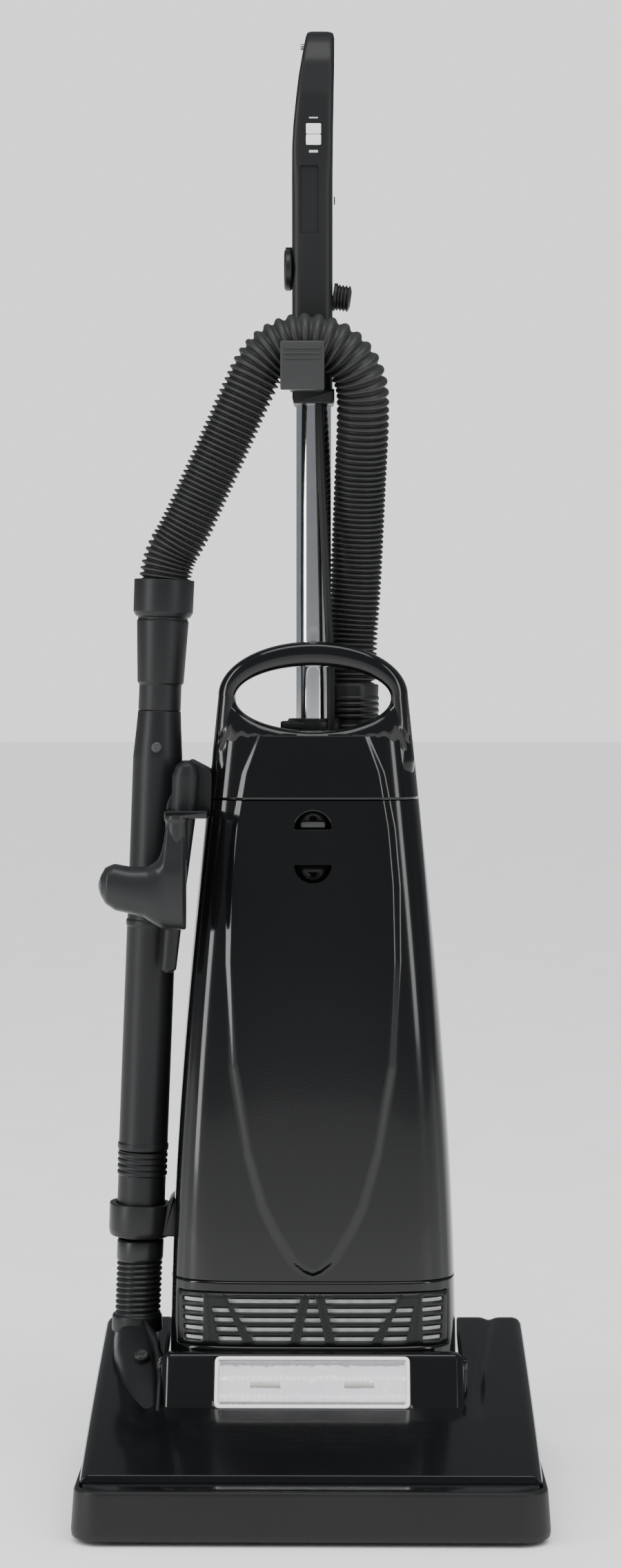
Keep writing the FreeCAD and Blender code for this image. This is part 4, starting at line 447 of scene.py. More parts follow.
slope_length = (HUMP_TOP - FOOT_Z) / math.cos(LENS_TILT)
sill, head = on_face(LENS_LIFT), on_face(LENS_LIFT + LENS_HIGH)
profile = np.concatenate([
    np.linspace(on_face(-22 * MM), sill, 8)[:-1], np.linspace(sill, head, 8),
    rounded_line([head, on_face(slope_length + 1.5 * MM), (BAY_FRONT + 1 * MM, HUMP_TOP)], 6 * MM, 7)[1:]])
ease_turn = np.linspace(math.pi / 2, 0, 9)
side_x = np.concatenate([[HUMP_HALF] * 3, HUMP_HALF - HUMP_EASE * (1 - np.sin(ease_turn))])
side_drop = np.concatenate([[60 * MM, 30 * MM, HUMP_EASE + 6 * MM], HUMP_EASE * (1 - np.cos(ease_turn))])
inner_x = np.linspace(HUMP_HALF - HUMP_EASE - 6 * MM, LENS_HALF, 6)
middle_x = np.linspace(LENS_HALF, 0, 20)[1:]
hump_x = np.concatenate([side_x, inner_x, middle_x])
hump_drop = np.concatenate([side_drop, np.zeros(len(inner_x) + len(middle_x))])
hump_x = np.concatenate([hump_x, -hump_x[-2::-1]])
hump_drop = np.concatenate([hump_drop, hump_drop[-2::-1]])
tangent = np.gradient(profile, axis=0)
tangent /= np.linalg.norm(tangent, axis=1, keepdims=True)
inward = np.stack([-tangent[:, 1] * -1, -tangent[:, 0]], 1)
rounded = np.minimum(hump_drop, HUMP_EASE)
straight = hump_drop - rounded
hump_points = np.zeros((len(profile), len(hump_x), 3))
hump_points[..., 0] = hump_x[None, :]
hump_points[..., 1:] = profile[:, None] + inward[:, None] * rounded[None, :, None]
hump_points[..., 2] = np.maximum(hump_points[..., 2] - straight[None, :], HOOD_LOW)
in_window = ((profile[:-1, 1] >= sill[1] - 1e-6) & (profile[1:, 1] <= head[1] + 1e-6))[:, None] & (
    np.abs(hump_x[:-1] + hump_x[1:]) / 2 < LENS_HALF)[None, :]
hump = surface("headlight_housing", hump_points, keep=~in_window, crisp=35)
finished(hump, "floor_nozzle", "gloss_black", gloss_black)
wall = hump.modifiers.new("wall", "SOLIDIFY")
wall.thickness = 2.5 * MM
wall.offset = -1

# ---- Headlight: two small bulbs in a bright tray behind a fluted clear window with a pale rim.
# The window clips into the housing from inside.

bright_rim = plastic("pale_rim", (0.82, 0.82, 0.80), 0.28, 0.02 * MM, 0.8 * MM, mottle=0.05)
mirror_tray = plastic("bright_reflector", (0.80, 0.78, 0.80), 0.14, 0.9 * MM, 9 * MM, mottle=0.2,
                      metallic=1.0)
bulb_glass = plastic("bulb_glass", (0.95, 0.90, 0.72), 0.15, 0.02 * MM, 1 * MM, mottle=0.05)
clear_lens = plastic("clear_fluted_lens", (0.95, 0.95, 0.97), 0.12, 0.05 * MM, 2 * MM, mottle=0.04)
clear_lens.node_tree.nodes["Principled BSDF"].inputs["Transmission Weight"].default_value = 0.85
clear_lens.node_tree.nodes["Principled BSDF"].inputs["IOR"].default_value = 1.49

FLUTES = 34
lens_u = np.linspace(-1, 1, FLUTES * 8 + 1)
lens_v = np.linspace(LENS_LIFT, LENS_LIFT + LENS_HIGH, 24)
ripple = 0.5 * MM * np.abs(np.sin(lens_u * math.pi * FLUTES / 2))
broad_ripple = 0.35 * MM * np.sin((lens_v - LENS_LIFT) / LENS_HIGH * math.pi * 5)
lens_points = np.zeros((len(lens_v), len(lens_u), 3))
lens_points[..., 0] = lens_u * (LENS_HALF + 1 * MM)
face_y, face_z = on_face(lens_v[:, None], ripple[None, :] + broad_ripple[:, None] - 0.4 * MM)
lens_points[..., 1], lens_points[..., 2] = face_y, face_z
window = surface("fluted_window", lens_points, crisp=60)
finished(window, "floor_nozzle", "clear_lens", clear_lens, "headlight_lens")
wall = window.modifiers.new("wall", "SOLIDIFY")
wall.thickness = 1.6 * MM
wall.offset = -1


def framed(name, corners, width, depth, ease=3 * MM):
    """A rim: a rounded section, width by depth, carried round a closed outline of points in space."""
    loop = rounded_line(corners, ease, 6, closed=True)
    ahead, behind = np.roll(loop, -1, 0), np.roll(loop, 1, 0)
    heading = ahead - behind
    heading /= np.linalg.norm(heading, axis=1, keepdims=True)
    facing = np.cross(corners[1] - corners[0], corners[2] - corners[1])
    facing /= np.linalg.norm(facing)
    outward = np.cross(heading, facing)
    turn = np.linspace(0, 2 * math.pi, 16, endpoint=False)
    across = np.sign(np.cos(turn)) * np.abs(np.cos(turn)) ** 0.5 * width / 2
    up = np.sign(np.sin(turn)) * np.abs(np.sin(turn)) ** 0.5 * depth / 2
    return surface(name, loop[:, None] + outward[:, None] * across[None, :, None] + facing * up[None, :,
                                                                                                None],
                   around=True, along=True)


window_corners = np.array([(x, *on_face(height, 0.3 * MM)) for x, height in (
    (-LENS_HALF - 1 * MM, LENS_LIFT - 1 * MM), (LENS_HALF + 1 * MM, LENS_LIFT - 1 * MM),
    (LENS_HALF + 1 * MM, LENS_LIFT + LENS_HIGH + 0.6 * MM),
    (-LENS_HALF - 1 * MM, LENS_LIFT + LENS_HIGH + 0.6 * MM))])
rim = framed("window_rim", window_corners, 3.0 * MM, 2.4 * MM)
finished(rim, "floor_nozzle", "white_plastic", bright_rim)
refinished(mirror_tray, "headlight_reflector")
refinished(bulb_glass, "headlight_bulbs")

# ---- Bumper: a soft band round the front and sides of the nozzle, pushed onto the hood's lower edge.
# Its flat face leans out a little towards the floor and its edges are eased.

bumper_rubber = plastic("bumper_rubber", (0.0085, 0.0085, 0.0088), 0.46, 0.05 * MM, 0.7 * MM)
bumper_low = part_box("bumper_strip")[0]
BUMPER_REAR_HALF = 0.180
turn = np.linspace(0, math.pi / 2, 16)
corner = 23 * MM
left_arc = np.stack([bumper_low.x + corner * (1 - np.cos(turn)), bumper_low.y + corner * (1 - np.sin(turn))],
                    1)
straight_side = np.linspace((-BUMPER_REAR_HALF, HOOD_REAR), left_arc[0], 30)[:-1]
front = np.linspace(left_arc[-1], (0.0, bumper_low.y), 20)[1:]
half_path = np.concatenate([straight_side, left_arc, front])
band_path = np.concatenate([half_path, half_path[-2::-1] * (-1, 1)])
way = np.gradient(band_path, axis=0)
way /= np.linalg.norm(way, axis=1, keepdims=True)
out_of = np.stack([way[:, 1], -way[:, 0]], 1)
BAND = rounded_line([(-6.0, 4.0), (-0.6, 4.0), (0.0, 9.0), (-2.2, 39.6), (-3.4, 41.4), (-6.0, 41.6)], 1.6,
                    5) * MM
band_points = np.zeros((len(band_path), len(BAND), 3))
band_points[..., :2] = band_path[:, None] + out_of[:, None] * BAND[None, :, :1]
band_points[..., 2] = BAND[:, 1]
bumper = surface("bumper_band", band_points, around=True, caps=True, crisp=40)
finished(bumper, "floor_nozzle", "bumper_rubber", bumper_rubber, "bumper_strip")

# ---- Canister: a tall tapered housing, crowned in front, in four mouldings. The rear shell stands on the
# pivot lugs, the bag door clips in front of it, the filter grille slides in below and the cap closes the
# top.

LEVELS = np.array([95, 215, 367, 552, 604]) * MM
HALF_WIDTHS = np.array([116.5, 114, 104, 87, 80.5]) * MM
FRONT_LINE = (2 * MM, 35 * MM)
BACK_LINE = (140 * MM, 145 * MM)
width_curve = np.polyfit(LEVELS, HALF_WIDTHS, 3)
SQUARENESS = 4.4
FOOT_LEVEL, CAP_LEVEL = LEVELS[0], LEVELS[-1]
DOOR_LOW, DOOR_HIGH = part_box("bag_door")[0].z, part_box("bag_door")[1].z
DOOR_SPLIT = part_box("bag_door")[1].y
SEAM_LINE = 0.9 * MM
BOARD_LEVELS = np.array([172, 174, 181, 190, 205, 225, 267, 338, 421, 482, 529, 574, 607]) * MM
BOARD_HALVES = np.array([0, 6, 15, 21, 30, 40, 52, 64, 68, 67, 63, 55, 42]) * MM
BOARD_RISE, BOARD_BEVEL = 1.9 * MM, 8.0 * MM
STRIP_IN, STRIP_WIDE, STRIP_DEEP = 9 * MM, 1.5 * MM, 0.9 * MM


def canister_outline(levels, count_front=180, count_side=50):
    """A superellipse at each level, walked from the middle of the left side round the front, the right
    side and the back: half width from a cubic through the stations, front and back faces leaning
    straight lines."""
    half = np.polyval(width_curve, levels)
    front = np.interp(levels, (FOOT_LEVEL, CAP_LEVEL), FRONT_LINE)
    back = np.interp(levels, (FOOT_LEVEL, CAP_LEVEL), BACK_LINE)
    turning = 2 ** (-1 / SQUARENESS)
    s_front = np.linspace(-turning, turning, count_front)
    s_side = np.linspace(-turning, turning, count_side)[1:-1]

    def full(s):
        return (1 - np.abs(s) ** SQUARENESS) ** (1 / SQUARENESS)
    unit = np.concatenate([
        np.stack([s_front, -full(s_front)], 1), np.stack([full(s_side), s_side], 1),
        np.stack([-s_front, full(s_front)], 1), np.stack([-full(s_side), -s_side], 1)])
    x = half[:, None] * unit[None, :, 0]
    y = (front + back)[:, None] / 2 + (back - front)[:, None] / 2 * unit[None, :, 1]
    return np.stack([x, y, np.broadcast_to(levels[:, None], x.shape)], -1)


def proud(points, rise):
    """Moves points of an outline grid outwards, level with themselves, by the height that rise
    gives each."""
    way = np.roll(points, -1, 1) - np.roll(points, 1, 1)
    out = np.stack([way[..., 1], -way[..., 0]], -1)
    out /= np.linalg.norm(out, axis=-1, keepdims=True)
    moved = points.copy()
    moved[..., :2] += out * rise[..., None]
    return moved


def front_relief(points):
    """Height of the front's raised shield, which has a bevelled edge, less a fine line beside each
    corner."""
    x, level = np.abs(points[..., 0]), points[..., 2]
    half = np.polyval(width_curve, level)
    inside = np.interp(level, BOARD_LEVELS, BOARD_HALVES) - x
    share = np.clip(inside / BOARD_BEVEL + 0.5, 0, 1)
    on_board = level > BOARD_LEVELS[0]
    board = BOARD_RISE * share ** 2 * (3 - 2 * share) * on_board
    strip = STRIP_DEEP * np.exp(-((half - x - STRIP_IN) / STRIP_WIDE) ** 2)
    in_front = points[..., 1] < DOOR_SPLIT
    return np.where(in_front, board - strip, 0.0)


def band(low, high, rows, relief=True):
    """The canister's surface between two levels, all the way round."""
    points = canister_outline(np.linspace(low, high, rows))
    return proud(points, front_relief(points)) if relief else points


def open_band(points, keep_front):
    """Only the columns in front of, or behind, the plane between door and shell, in order."""
    count = points.shape[1]
    y = points[0, :, 1]
    chosen = y < DOOR_SPLIT if keep_front else y > DOOR_SPLIT
    start = np.argmax(chosen & ~np.roll(chosen, 1))
    order = (start + np.arange(count)) % count
    return points[:, order[chosen[order]]]


def walled(piece, thickness, offset=-1):
    """Gives an open surface a wall of this thickness, inwards unless offset says otherwise."""
    wall = piece.modifiers.new("wall", "SOLIDIFY")
    wall.thickness = thickness
    wall.offset = offset
    return piece


def settled(piece):
    """Turns a piece's modifiers into its mesh."""
    graph = bpy.context.evaluated_depsgraph_get()
    made = bpy.data.meshes.new_from_object(piece.evaluated_get(graph))
    piece.modifiers.clear()
    piece.data = made
    return piece


def carved(piece, *cutters):
    """Cuts closed pieces out of a closed piece and removes them."""
    for cutter in cutters:
        cut = piece.modifiers.new("cut", "BOOLEAN")
        cut.operation = "DIFFERENCE"
        cut.solver = "EXACT"
        cut.object = cutter
    settled(piece)
    for cutter in cutters:
        bpy.data.objects.remove(cutter)
    piece.data.set_sharp_from_angle(angle=math.radians(40))
    return piece


MOON_RADIUS = 15.5 * MM
MOON_UPPER, MOON_LOWER = 0.528, 0.500
MOON_DEPTH = 10 * MM


def half_moon(level, up, radius, corner=1.6 * MM):
    """A half disc's outline in X and Z, flat at level, its two corners eased."""
    turn = np.linspace(0, math.pi, 25)
    arc = np.stack([radius * np.cos(turn), level + up * radius * np.sin(turn)], 1)
    return rounded_line(arc, [corner] + [0.3 * MM] * 23 + [corner], 4, closed=True)


def upright_slab(name, outline, near, far, ease=0.0, steps=5):
    """A plate whose outline lies in X and Z, from y near to y far, its two rims rounded by ease."""
    ahead, behind = np.roll(outline, -1, 0), np.roll(outline, 1, 0)
    way = ahead - behind
    out = np.stack([way[:, 1], -way[:, 0]], 1) / np.linalg.norm(way, axis=1, keepdims=True)
    area = np.sum(outline[:, 0] * ahead[:, 1] - ahead[:, 0] * outline[:, 1])
    out = out * np.sign(area)
    turn = np.linspace(0, math.pi / 2, steps) if ease else np.array([math.pi / 2])
    tuck = ease * (1 - np.sin(turn))
    rise = ease * (1 - np.cos(turn))
    depths = np.concatenate([near + rise, far - rise[::-1]])
    tucks = np.concatenate([tuck, tuck[::-1]])
    points = np.zeros((len(depths), len(outline), 3))
    points[..., [0, 2]] = outline[None] - out[None] * tucks[:, None, None]
    points[..., 1] = depths[:, None]
    return surface(name, points, around=True, caps=True)


moon_front = float(np.interp(MOON_UPPER, (FOOT_LEVEL, CAP_LEVEL), FRONT_LINE))
door = surface("glossy_bag_door", open_band(band(DOOR_LOW, DOOR_HIGH, 190), True), crisp=50)
settled(walled(door, 3 * MM))
cutters = [upright_slab(f"cutter_{level}", half_moon(level, up, MOON_RADIUS), moon_front - 0.03,
                        moon_front + 0.03)
           for level, up in ((MOON_UPPER, 1), (MOON_LOWER, -1))]
carved(door, *cutters)
finished(door, "door", "gloss_black", gloss_black, "bag_door", "door_seal")
satin_black = plastic("satin_black_plastic", (0.0105, 0.0108, 0.0112), 0.33, 0.05 * MM, 0.8 * MM)
for name, level, up in (("upper", MOON_UPPER, 1), ("lower", MOON_LOWER, -1)):
    rim_line = half_moon(level, up, MOON_RADIUS)
    mouth = np.stack([rim_line[:, 0], np.full(len(rim_line), moon_front - 1.5 * MM), rim_line[:, 1]], 1)
    floor_line = half_moon(level + up * 0.7 * MM, up, MOON_RADIUS - 1.2 * MM)
    floor = np.stack([floor_line[:, 0], np.full(len(floor_line), moon_front + MOON_DEPTH), floor_line[:, 1]],
                     1)
    middle = floor * 0.75 + mouth * 0.25 + (mouth - floor) * np.array([0.2, 0, 0.2])
    cup = surface(f"finger_cup_{name}", np.stack([mouth, middle, floor]), around=True, crisp=40)
    back_plate = floor.mean(0)
    cup_floor = surface(f"finger_cup_floor_{name}", np.stack([floor, floor * 0.02 + back_plate * 0.98]),
                        around=True, caps=False)
    finished(walled(cup, 0.8 * MM, 1), "door", "satin_black", satin_black)
    finished(walled(cup_floor, 0.8 * MM, 1), "door", "satin_black", satin_black)
latch_low, latch_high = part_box("door_latch")
latch_outline = rounded_line([(latch_low.x, latch_low.z), (latch_high.x, latch_low.z),
                              (latch_high.x, latch_high.z), (latch_low.x, latch_high.z)], 1.4 * MM, 5,
                              closed=True)
latch = upright_slab("latch_bar", latch_outline, latch_low.y, latch_high.y, 1.0 * MM)
satin_grey = plastic("satin_grey_plastic", (0.045, 0.046, 0.048), 0.3, 0.04 * MM, 0.8 * MM)
finished(latch, "latch", "satin_grey", satin_grey, "door_latch")

shell_upper = surface("rear_shell", open_band(band(DOOR_LOW, DOOR_HIGH, 60, False), False), crisp=50)
finished(walled(shell_upper, 3 * MM), "canister", "gloss_black", gloss_black)
GRILLE_HALF = 109 * MM
GRILLE_LOW, GRILLE_HIGH = 114 * MM, 157 * MM
skirt_levels = np.unique(np.concatenate([np.linspace(FOOT_LEVEL, GRILLE_LOW, 8),
                                         np.linspace(GRILLE_LOW, GRILLE_HIGH, 14),
                                         np.linspace(GRILLE_HIGH, DOOR_LOW - SEAM_LINE, 6)]))
skirt_points = canister_outline(skirt_levels)
skirt_points = proud(skirt_points, front_relief(skirt_points))
middle_x = (skirt_points[:-1, :, 0] + np.roll(skirt_points, -1, 1)[:-1, :, 0]) / 2
in_grille = ((np.abs(middle_x) < GRILLE_HALF) & (skirt_points[:-1, :, 1] < DOOR_SPLIT - 20 * MM)
             & ((skirt_levels[:-1] >= GRILLE_LOW - 1e-6) & (skirt_levels[1:] <= GRILLE_HIGH + 1e-6))[:,
                                                                                                     None])
shell_foot = surface("shell_foot", skirt_points, around=True, keep=~in_grille, crisp=50)
finished(walled(shell_foot, 3 * MM), "canister", "gloss_black", gloss_black, "canister_shell")

# ---- Filter grille: a snap-in panel under the door with five rows of slots whose ends step in and out,
# small round holes between the groups, and the pale exhaust filter close behind.

SLOT_TOP, SLOT_PITCH, SLOT_HIGH = 150.5 * MM, 7.5 * MM, 3.1 * MM
SLOT_GROUPS = np.array([(0.0, 3.0, 0.0, 9.6), (10.3, 68.0, 17.4, 48.8), (70.5, 83.0, 57.0, 76.0),
                        (88.0, 105.5, 88.5, 104.0)]) * MM
SLOT_ROWS = 5
row_levels = SLOT_TOP - np.arange(SLOT_ROWS) * SLOT_PITCH
edges = np.sort(np.concatenate([row_levels - SLOT_HIGH / 2, row_levels + SLOT_HIGH / 2]))
panel_low, panel_high = GRILLE_LOW + 0.5 * MM, GRILLE_HIGH - 0.5 * MM
levels = np.unique(np.concatenate([[panel_low], edges, (edges[:-1] + edges[1:]) / 2, [panel_high]]))
down = np.clip((row_levels[0] - levels) / (row_levels[0] - row_levels[-1]), -0.15, 1.15)
ends = [SLOT_GROUPS[:, 0] + (SLOT_GROUPS[:, 2] - SLOT_GROUPS[:, 0]) * d for d in down]
far_ends = [SLOT_GROUPS[:, 1] + (SLOT_GROUPS[:, 3] - SLOT_GROUPS[:, 1]) * d for d in down]
marks = np.stack([np.sort(np.concatenate([near, far, [GRILLE_HALF - 0.5 * MM]])) for near,
                  far in zip(ends, far_ends)])
SUB = 8
fine = np.linspace(0, marks.shape[1] - 1, (marks.shape[1] - 1) * SUB + 1)
right_x = np.stack([np.interp(fine, np.arange(marks.shape[1]), row) for row in marks])
grille_x = np.concatenate([-right_x[:, :0:-1], right_x], 1)
grille_level = np.broadcast_to(levels[:, None], grille_x.shape)


def front_y(x, level):
    """The superellipse solved for the front face's Y at x."""
    half = np.polyval(width_curve, level)
    front = np.interp(level, (FOOT_LEVEL, CAP_LEVEL), FRONT_LINE)
    back = np.interp(level, (FOOT_LEVEL, CAP_LEVEL), BACK_LINE)
    full = (1 - np.clip(np.abs(x) / half, 0, 1) ** SQUARENESS) ** (1 / SQUARENESS)
    return (front + back) / 2 - (back - front) / 2 * full


grille_points = np.stack([grille_x, front_y(grille_x, grille_level), grille_level], -1)
cell_level = (levels[:-1] + levels[1:]) / 2
in_row = np.abs(cell_level[:, None] - row_levels[None, :]) < SLOT_HIGH / 2
cell_group = np.repeat(np.arange(marks.shape[1] - 1), SUB)
group_is_slot = cell_group % 2 == 0
half_slot = in_row.any(1)[:, None] & group_is_slot[None, :]
second_group = cell_group == 4
half_slot &= ~(second_group[None, :] & in_row[:, :1])
slot_cells = np.concatenate([half_slot[:, ::-1], half_slot], 1)
grille = surface("slotted_grille", grille_points, keep=~slot_cells, crisp=45)
finished(walled(grille, 2.2 * MM), "grille", "satin_black", satin_black, "filter_grille")

hole_spots = []
for row in range(-1, 2 * SLOT_ROWS):
    level = SLOT_TOP + SLOT_PITCH / 2 - row * SLOT_PITCH / 2
    d = (row_levels[0] - level) / (row_levels[0] - row_levels[-1])
    near = SLOT_GROUPS[:, 0] + (SLOT_GROUPS[:, 2] - SLOT_GROUPS[:, 0]) * d
    far = SLOT_GROUPS[:, 1] + (SLOT_GROUPS[:, 3] - SLOT_GROUPS[:, 1]) * d
    for gap in range(3):
        middle = (far[gap] + near[gap + 1]) / 2
        hole_spots += [(middle, level), (-middle, level)]
hole_spots = np.array([spot for spot in hole_spots if panel_low + 3 * MM < spot[1] < panel_high - 1 * MM])
HOLE_RADIUS, BOSS_SIDES = 1.35 * MM, 12
turn = np.linspace(0, 2 * math.pi, BOSS_SIDES, endpoint=False)
ring = np.stack([np.cos(turn), np.sin(turn)], 1)
hole_rings = []
for x, level in hole_spots:
    rings = []
    for radius, out in ((HOLE_RADIUS * 1.25, 0.0), (HOLE_RADIUS * 1.1, 0.45 * MM), (HOLE_RADIUS, 0.2 * MM),
                        (HOLE_RADIUS * 0.8, -0.4 * MM)):
        spot_x, spot_level = x + ring[:, 0] * radius, level + ring[:, 1] * radius
        rings.append(np.stack([spot_x, front_y(spot_x, spot_level) - out + 0.1 * MM, spot_level], 1))
    hole_rings.append(np.stack(rings))
count = len(hole_spots)
hole_verts = np.stack(hole_rings).reshape(-1, 3)
number_of = np.arange(len(hole_verts)).reshape(count, -1, BOSS_SIDES)
quads = np.stack([number_of[:, :-1], np.roll(number_of, -1, 2)[:, :-1], np.roll(number_of, -1, 2)[:, 1:],
                  number_of[:, 1:]], -1).reshape(-1, 4).tolist()
quads += number_of[:, -1].tolist()
hole_mesh = bpy.data.meshes.new("grille_bosses")
hole_mesh.from_pydata(hole_verts.tolist(), [], quads)
hole_mesh.shade_smooth()
bosses = bpy.data.objects.new("grille_bosses", hole_mesh)
bpy.context.scene.collection.objects.link(bosses)
finished(bosses, "grille", "gloss_black", gloss_black)

filter_cloth = plastic("filter_fleece", (0.80, 0.82, 0.82), 0.9, 0.25 * MM, 0.35 * MM, mottle=0.12)
FLEECE_HALF, FLEECE_LOW, FLEECE_HIGH = 107 * MM, 115.5 * MM, 155 * MM
FLEECE_BEHIND, FLEECE_MARGIN = 3.2 * MM, 0.985
WAVE_HEIGHT, WAVE_LENGTH = 0.35 * MM, 2.2 * MM
ACROSS, UP = 120, 16
fleece_x = np.linspace(-FLEECE_HALF, FLEECE_HALF, ACROSS)[None, :].repeat(UP, 0)
fleece_level = np.linspace(FLEECE_LOW, FLEECE_HIGH, UP)[:, None].repeat(ACROSS, 1)
fleece_places = fleece_x * FLEECE_MARGIN
fleece_points = np.stack([fleece_places, front_y(fleece_places, fleece_level) + FLEECE_BEHIND
                          + WAVE_HEIGHT * np.sin(fleece_x / WAVE_LENGTH), fleece_level], -1)
fleece = surface("exhaust_fleece", fleece_points)
finished(walled(fleece, 1.5 * MM), "canister", "filter_paper", filter_cloth, "exhaust_filter")

# ---- Top cap: the lid of the canister with a carry loop moulded in one with it. The hand opening is an
# ellipse whose lower half scoops into the cap's front edge.

LOOP_MIDDLE, LOOP_RISE, LOOP_HALF, LOOP_ROOT = 0.636, 44 * MM, 77 * MM, 72 * MM
LOOP_SPREAD = 0.11
HOLE_MIDDLE, HOLE_RISE, HOLE_HALF = 0.634, 26 * MM, 63 * MM
LOOP_DEPTH = 25 * MM
CAP_EASE = 0.8 * MM

cap_levels = np.concatenate([np.linspace(DOOR_HIGH + SEAM_LINE, CAP_LEVEL - CAP_EASE, 26),
                             CAP_LEVEL - CAP_EASE * (1 - np.sin(np.linspace(0.15, math.pi / 2, 9)))])
cap_points = canister_outline(cap_levels)
cap_points = proud(cap_points, front_relief(cap_points))
tuck = CAP_EASE * (1 - np.cos(np.linspace(0.15, math.pi / 2, 9)))
tucks = np.concatenate([np.zeros(26), tuck])
cap_points = proud(cap_points, -np.broadcast_to(tucks[:, None], cap_points.shape[:2]))
last = cap_points[-1]
centre = np.array([0, 0.09, CAP_LEVEL])
lid = [centre + (last - centre) * share for share in (0.93, 0.6, 0.3, 0.02)]
cap_points = np.concatenate([cap_points, np.stack(lid)])
cap = surface("top_cap_moulding", cap_points, around=True, caps=False, crisp=40)
finished(walled(cap, 2.5 * MM), "canister", "gloss_black", gloss_black, "top_cap")

around_loop = np.linspace(0, 2 * math.pi, 160, endpoint=False)
lower = np.clip(-np.sin(around_loop), 0, 1)
squared = np.where(lower > 0, 0.2, 1.0)
outer_x = LOOP_HALF * np.sign(np.cos(around_loop)) * np.abs(np.cos(around_loop)) ** squared
rise = np.sign(np.sin(around_loop)) * np.abs(np.sin(around_loop)) ** squared
outer_z = LOOP_MIDDLE + np.where(rise > 0, LOOP_RISE, LOOP_ROOT) * rise
outer_x = outer_x * (1 + LOOP_SPREAD * np.clip(LOOP_MIDDLE - outer_z, 0, None) / LOOP_HALF)
inner_x = HOLE_HALF * np.cos(around_loop)
inner_z = HOLE_MIDDLE + HOLE_RISE * np.sin(around_loop)
middle = np.stack([(outer_x + inner_x) / 2, (outer_z + inner_z) / 2], 1)
spoke = np.stack([(outer_x - inner_x) / 2, (outer_z - inner_z) / 2], 1)
section = np.linspace(0, 2 * math.pi, 40, endpoint=False)
SECTION_SQUARE = 0.62
reach = np.sign(np.cos(section)) * np.abs(np.cos(section)) ** SECTION_SQUARE
depth = np.sign(np.sin(section)) * np.abs(np.sin(section)) ** SECTION_SQUARE
loop_points = np.zeros((len(around_loop), len(section), 3))
loop_points[..., [0, 2]] = middle[:, None] + spoke[:, None] * reach[None, :, None]
loop_front = front_y(loop_points[..., 0] * 0.9, np.minimum(loop_points[..., 2], CAP_LEVEL)) - 0.4 * MM
on_board = np.clip((46 * MM - np.abs(loop_points[..., 0])) / BOARD_BEVEL, 0,
                   1) * (loop_points[..., 2] < LOOP_MIDDLE)
below = np.clip((CAP_LEVEL - 1 * MM - loop_points[..., 2]) / (2 * MM), 0, 1)
loop_front = loop_front - BOARD_RISE * on_board + 4.5 * MM * below
loop_points[..., 1] = loop_front + LOOP_DEPTH / 2 + LOOP_DEPTH / 2 * depth[None, :]
loop = surface("carry_loop", loop_points, around=True, along=True, crisp=60)
finished(loop, "canister", "gloss_black", gloss_black)

# ---- Wand: a two-part plastic tube that stands in a socket at the machine's left. Its grip has a narrow
# waist and carries the cuff into which the hose screws; the socket is held by a ring clip on the shell.

WAND_FOOT = np.array([-143.1, 72.0, 190.0]) * MM
WAND_TILT = math.radians(2.26)
WAND_WAY = np.array([math.sin(WAND_TILT), 0.0, math.cos(WAND_TILT)])


def turned(name, profile, foot, way, columns=72, ease=0.8 * MM, crisp=35):
    """A closed profile of distances along an axis and radii, its corners eased, swung once round
    the axis."""
    line = rounded_line([np.array(corner) * MM for corner in profile], ease, 4, closed=True)
    way = np.array(way) / np.linalg.norm(way)
    side = np.cross(way, (0.0, 1.0, 0.0) if abs(way[1]) < 0.9 else (1.0, 0.0, 0.0))
    side /= np.linalg.norm(side)
    across = np.cross(way, side)
    turn = np.linspace(0, 2 * math.pi, columns, endpoint=False)
    rim = np.cos(turn)[:, None] * side + np.sin(turn)[:, None] * across
    points = np.array(foot) + line[:, None, :1] * way + line[:, None, 1:] * rim[None]
    return surface(name, points, around=True, along=True, crisp=crisp)


def ribs(start, count, pitch, root, crest):
    """Profile corners of a row of moulded rings."""
    corners = []
    for number in range(count):
        low = start + number * pitch
        corners += [(low, root), (low + 0.2 * pitch, crest), (low + 0.6 * pitch, crest),
                    (low + 0.8 * pitch, root)]
    return corners


wand_black = plastic("wand_black_plastic", (0.0075, 0.0078, 0.0085), 0.42, 0.03 * MM, 1.2 * MM)
socket = turned("wand_socket_body", [(0.5, 16.7), (0.5, 18.4), (2.5, 19.6), (50, 19.6),
                                     *ribs(52, 4, 5, 19.5, 20.6),
                                     (72, 20.3), (72, 16.7)], WAND_FOOT, WAND_WAY, ease=0.5 * MM)
finished(socket, "canister", "satin_black", wand_black, "wand_socket")
wand_body = turned("wand_body", [(39, 12), (39, 15.8), (72.8, 15.8), (72.8, 20.2), (74, 20.9), (78, 20.9),
                                 (79, 20.1),
                                 (257, 20.1), (258, 20.9), (262, 20.9), (263, 19.9), (396, 20.2),
                                 (420, 18.4),
                                 (434, 17.5), (434, 12)], WAND_FOOT, WAND_WAY)
finished(wand_body, "wand", "satin_black", wand_black, "wand_tube")
grip_body = turned("wand_grip_body", [(434.2, 12), (434.2, 17.4), (455, 17.3), (457, 19.0), (507, 21.2),
                                      (508.5, 20.3),
                                      (510, 20.3), (511, 22.4), (514.5, 24.4), (541, 24.6), (541, 21.9),
                                      (530, 21.9),
                                      (530, 12)], WAND_FOOT, WAND_WAY, ease=0.6 * MM)
finished(grip_body, "wand", "satin_black", wand_black, "wand_grip")
spring_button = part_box("wand_button")
button_middle = (spring_button[0] + spring_button[1]) / 2
button = turned("wand_button_cap", [(0, 0.01), (0, 3.2), (1.2, 4.4), (3.6, 4.5), (3.6, 0.01)],
                (button_middle.x, spring_button[0].y, button_middle.z), (0, 1, 0), 32)
finished(button, "wand", "satin_grey", satin_grey, "wand_button")

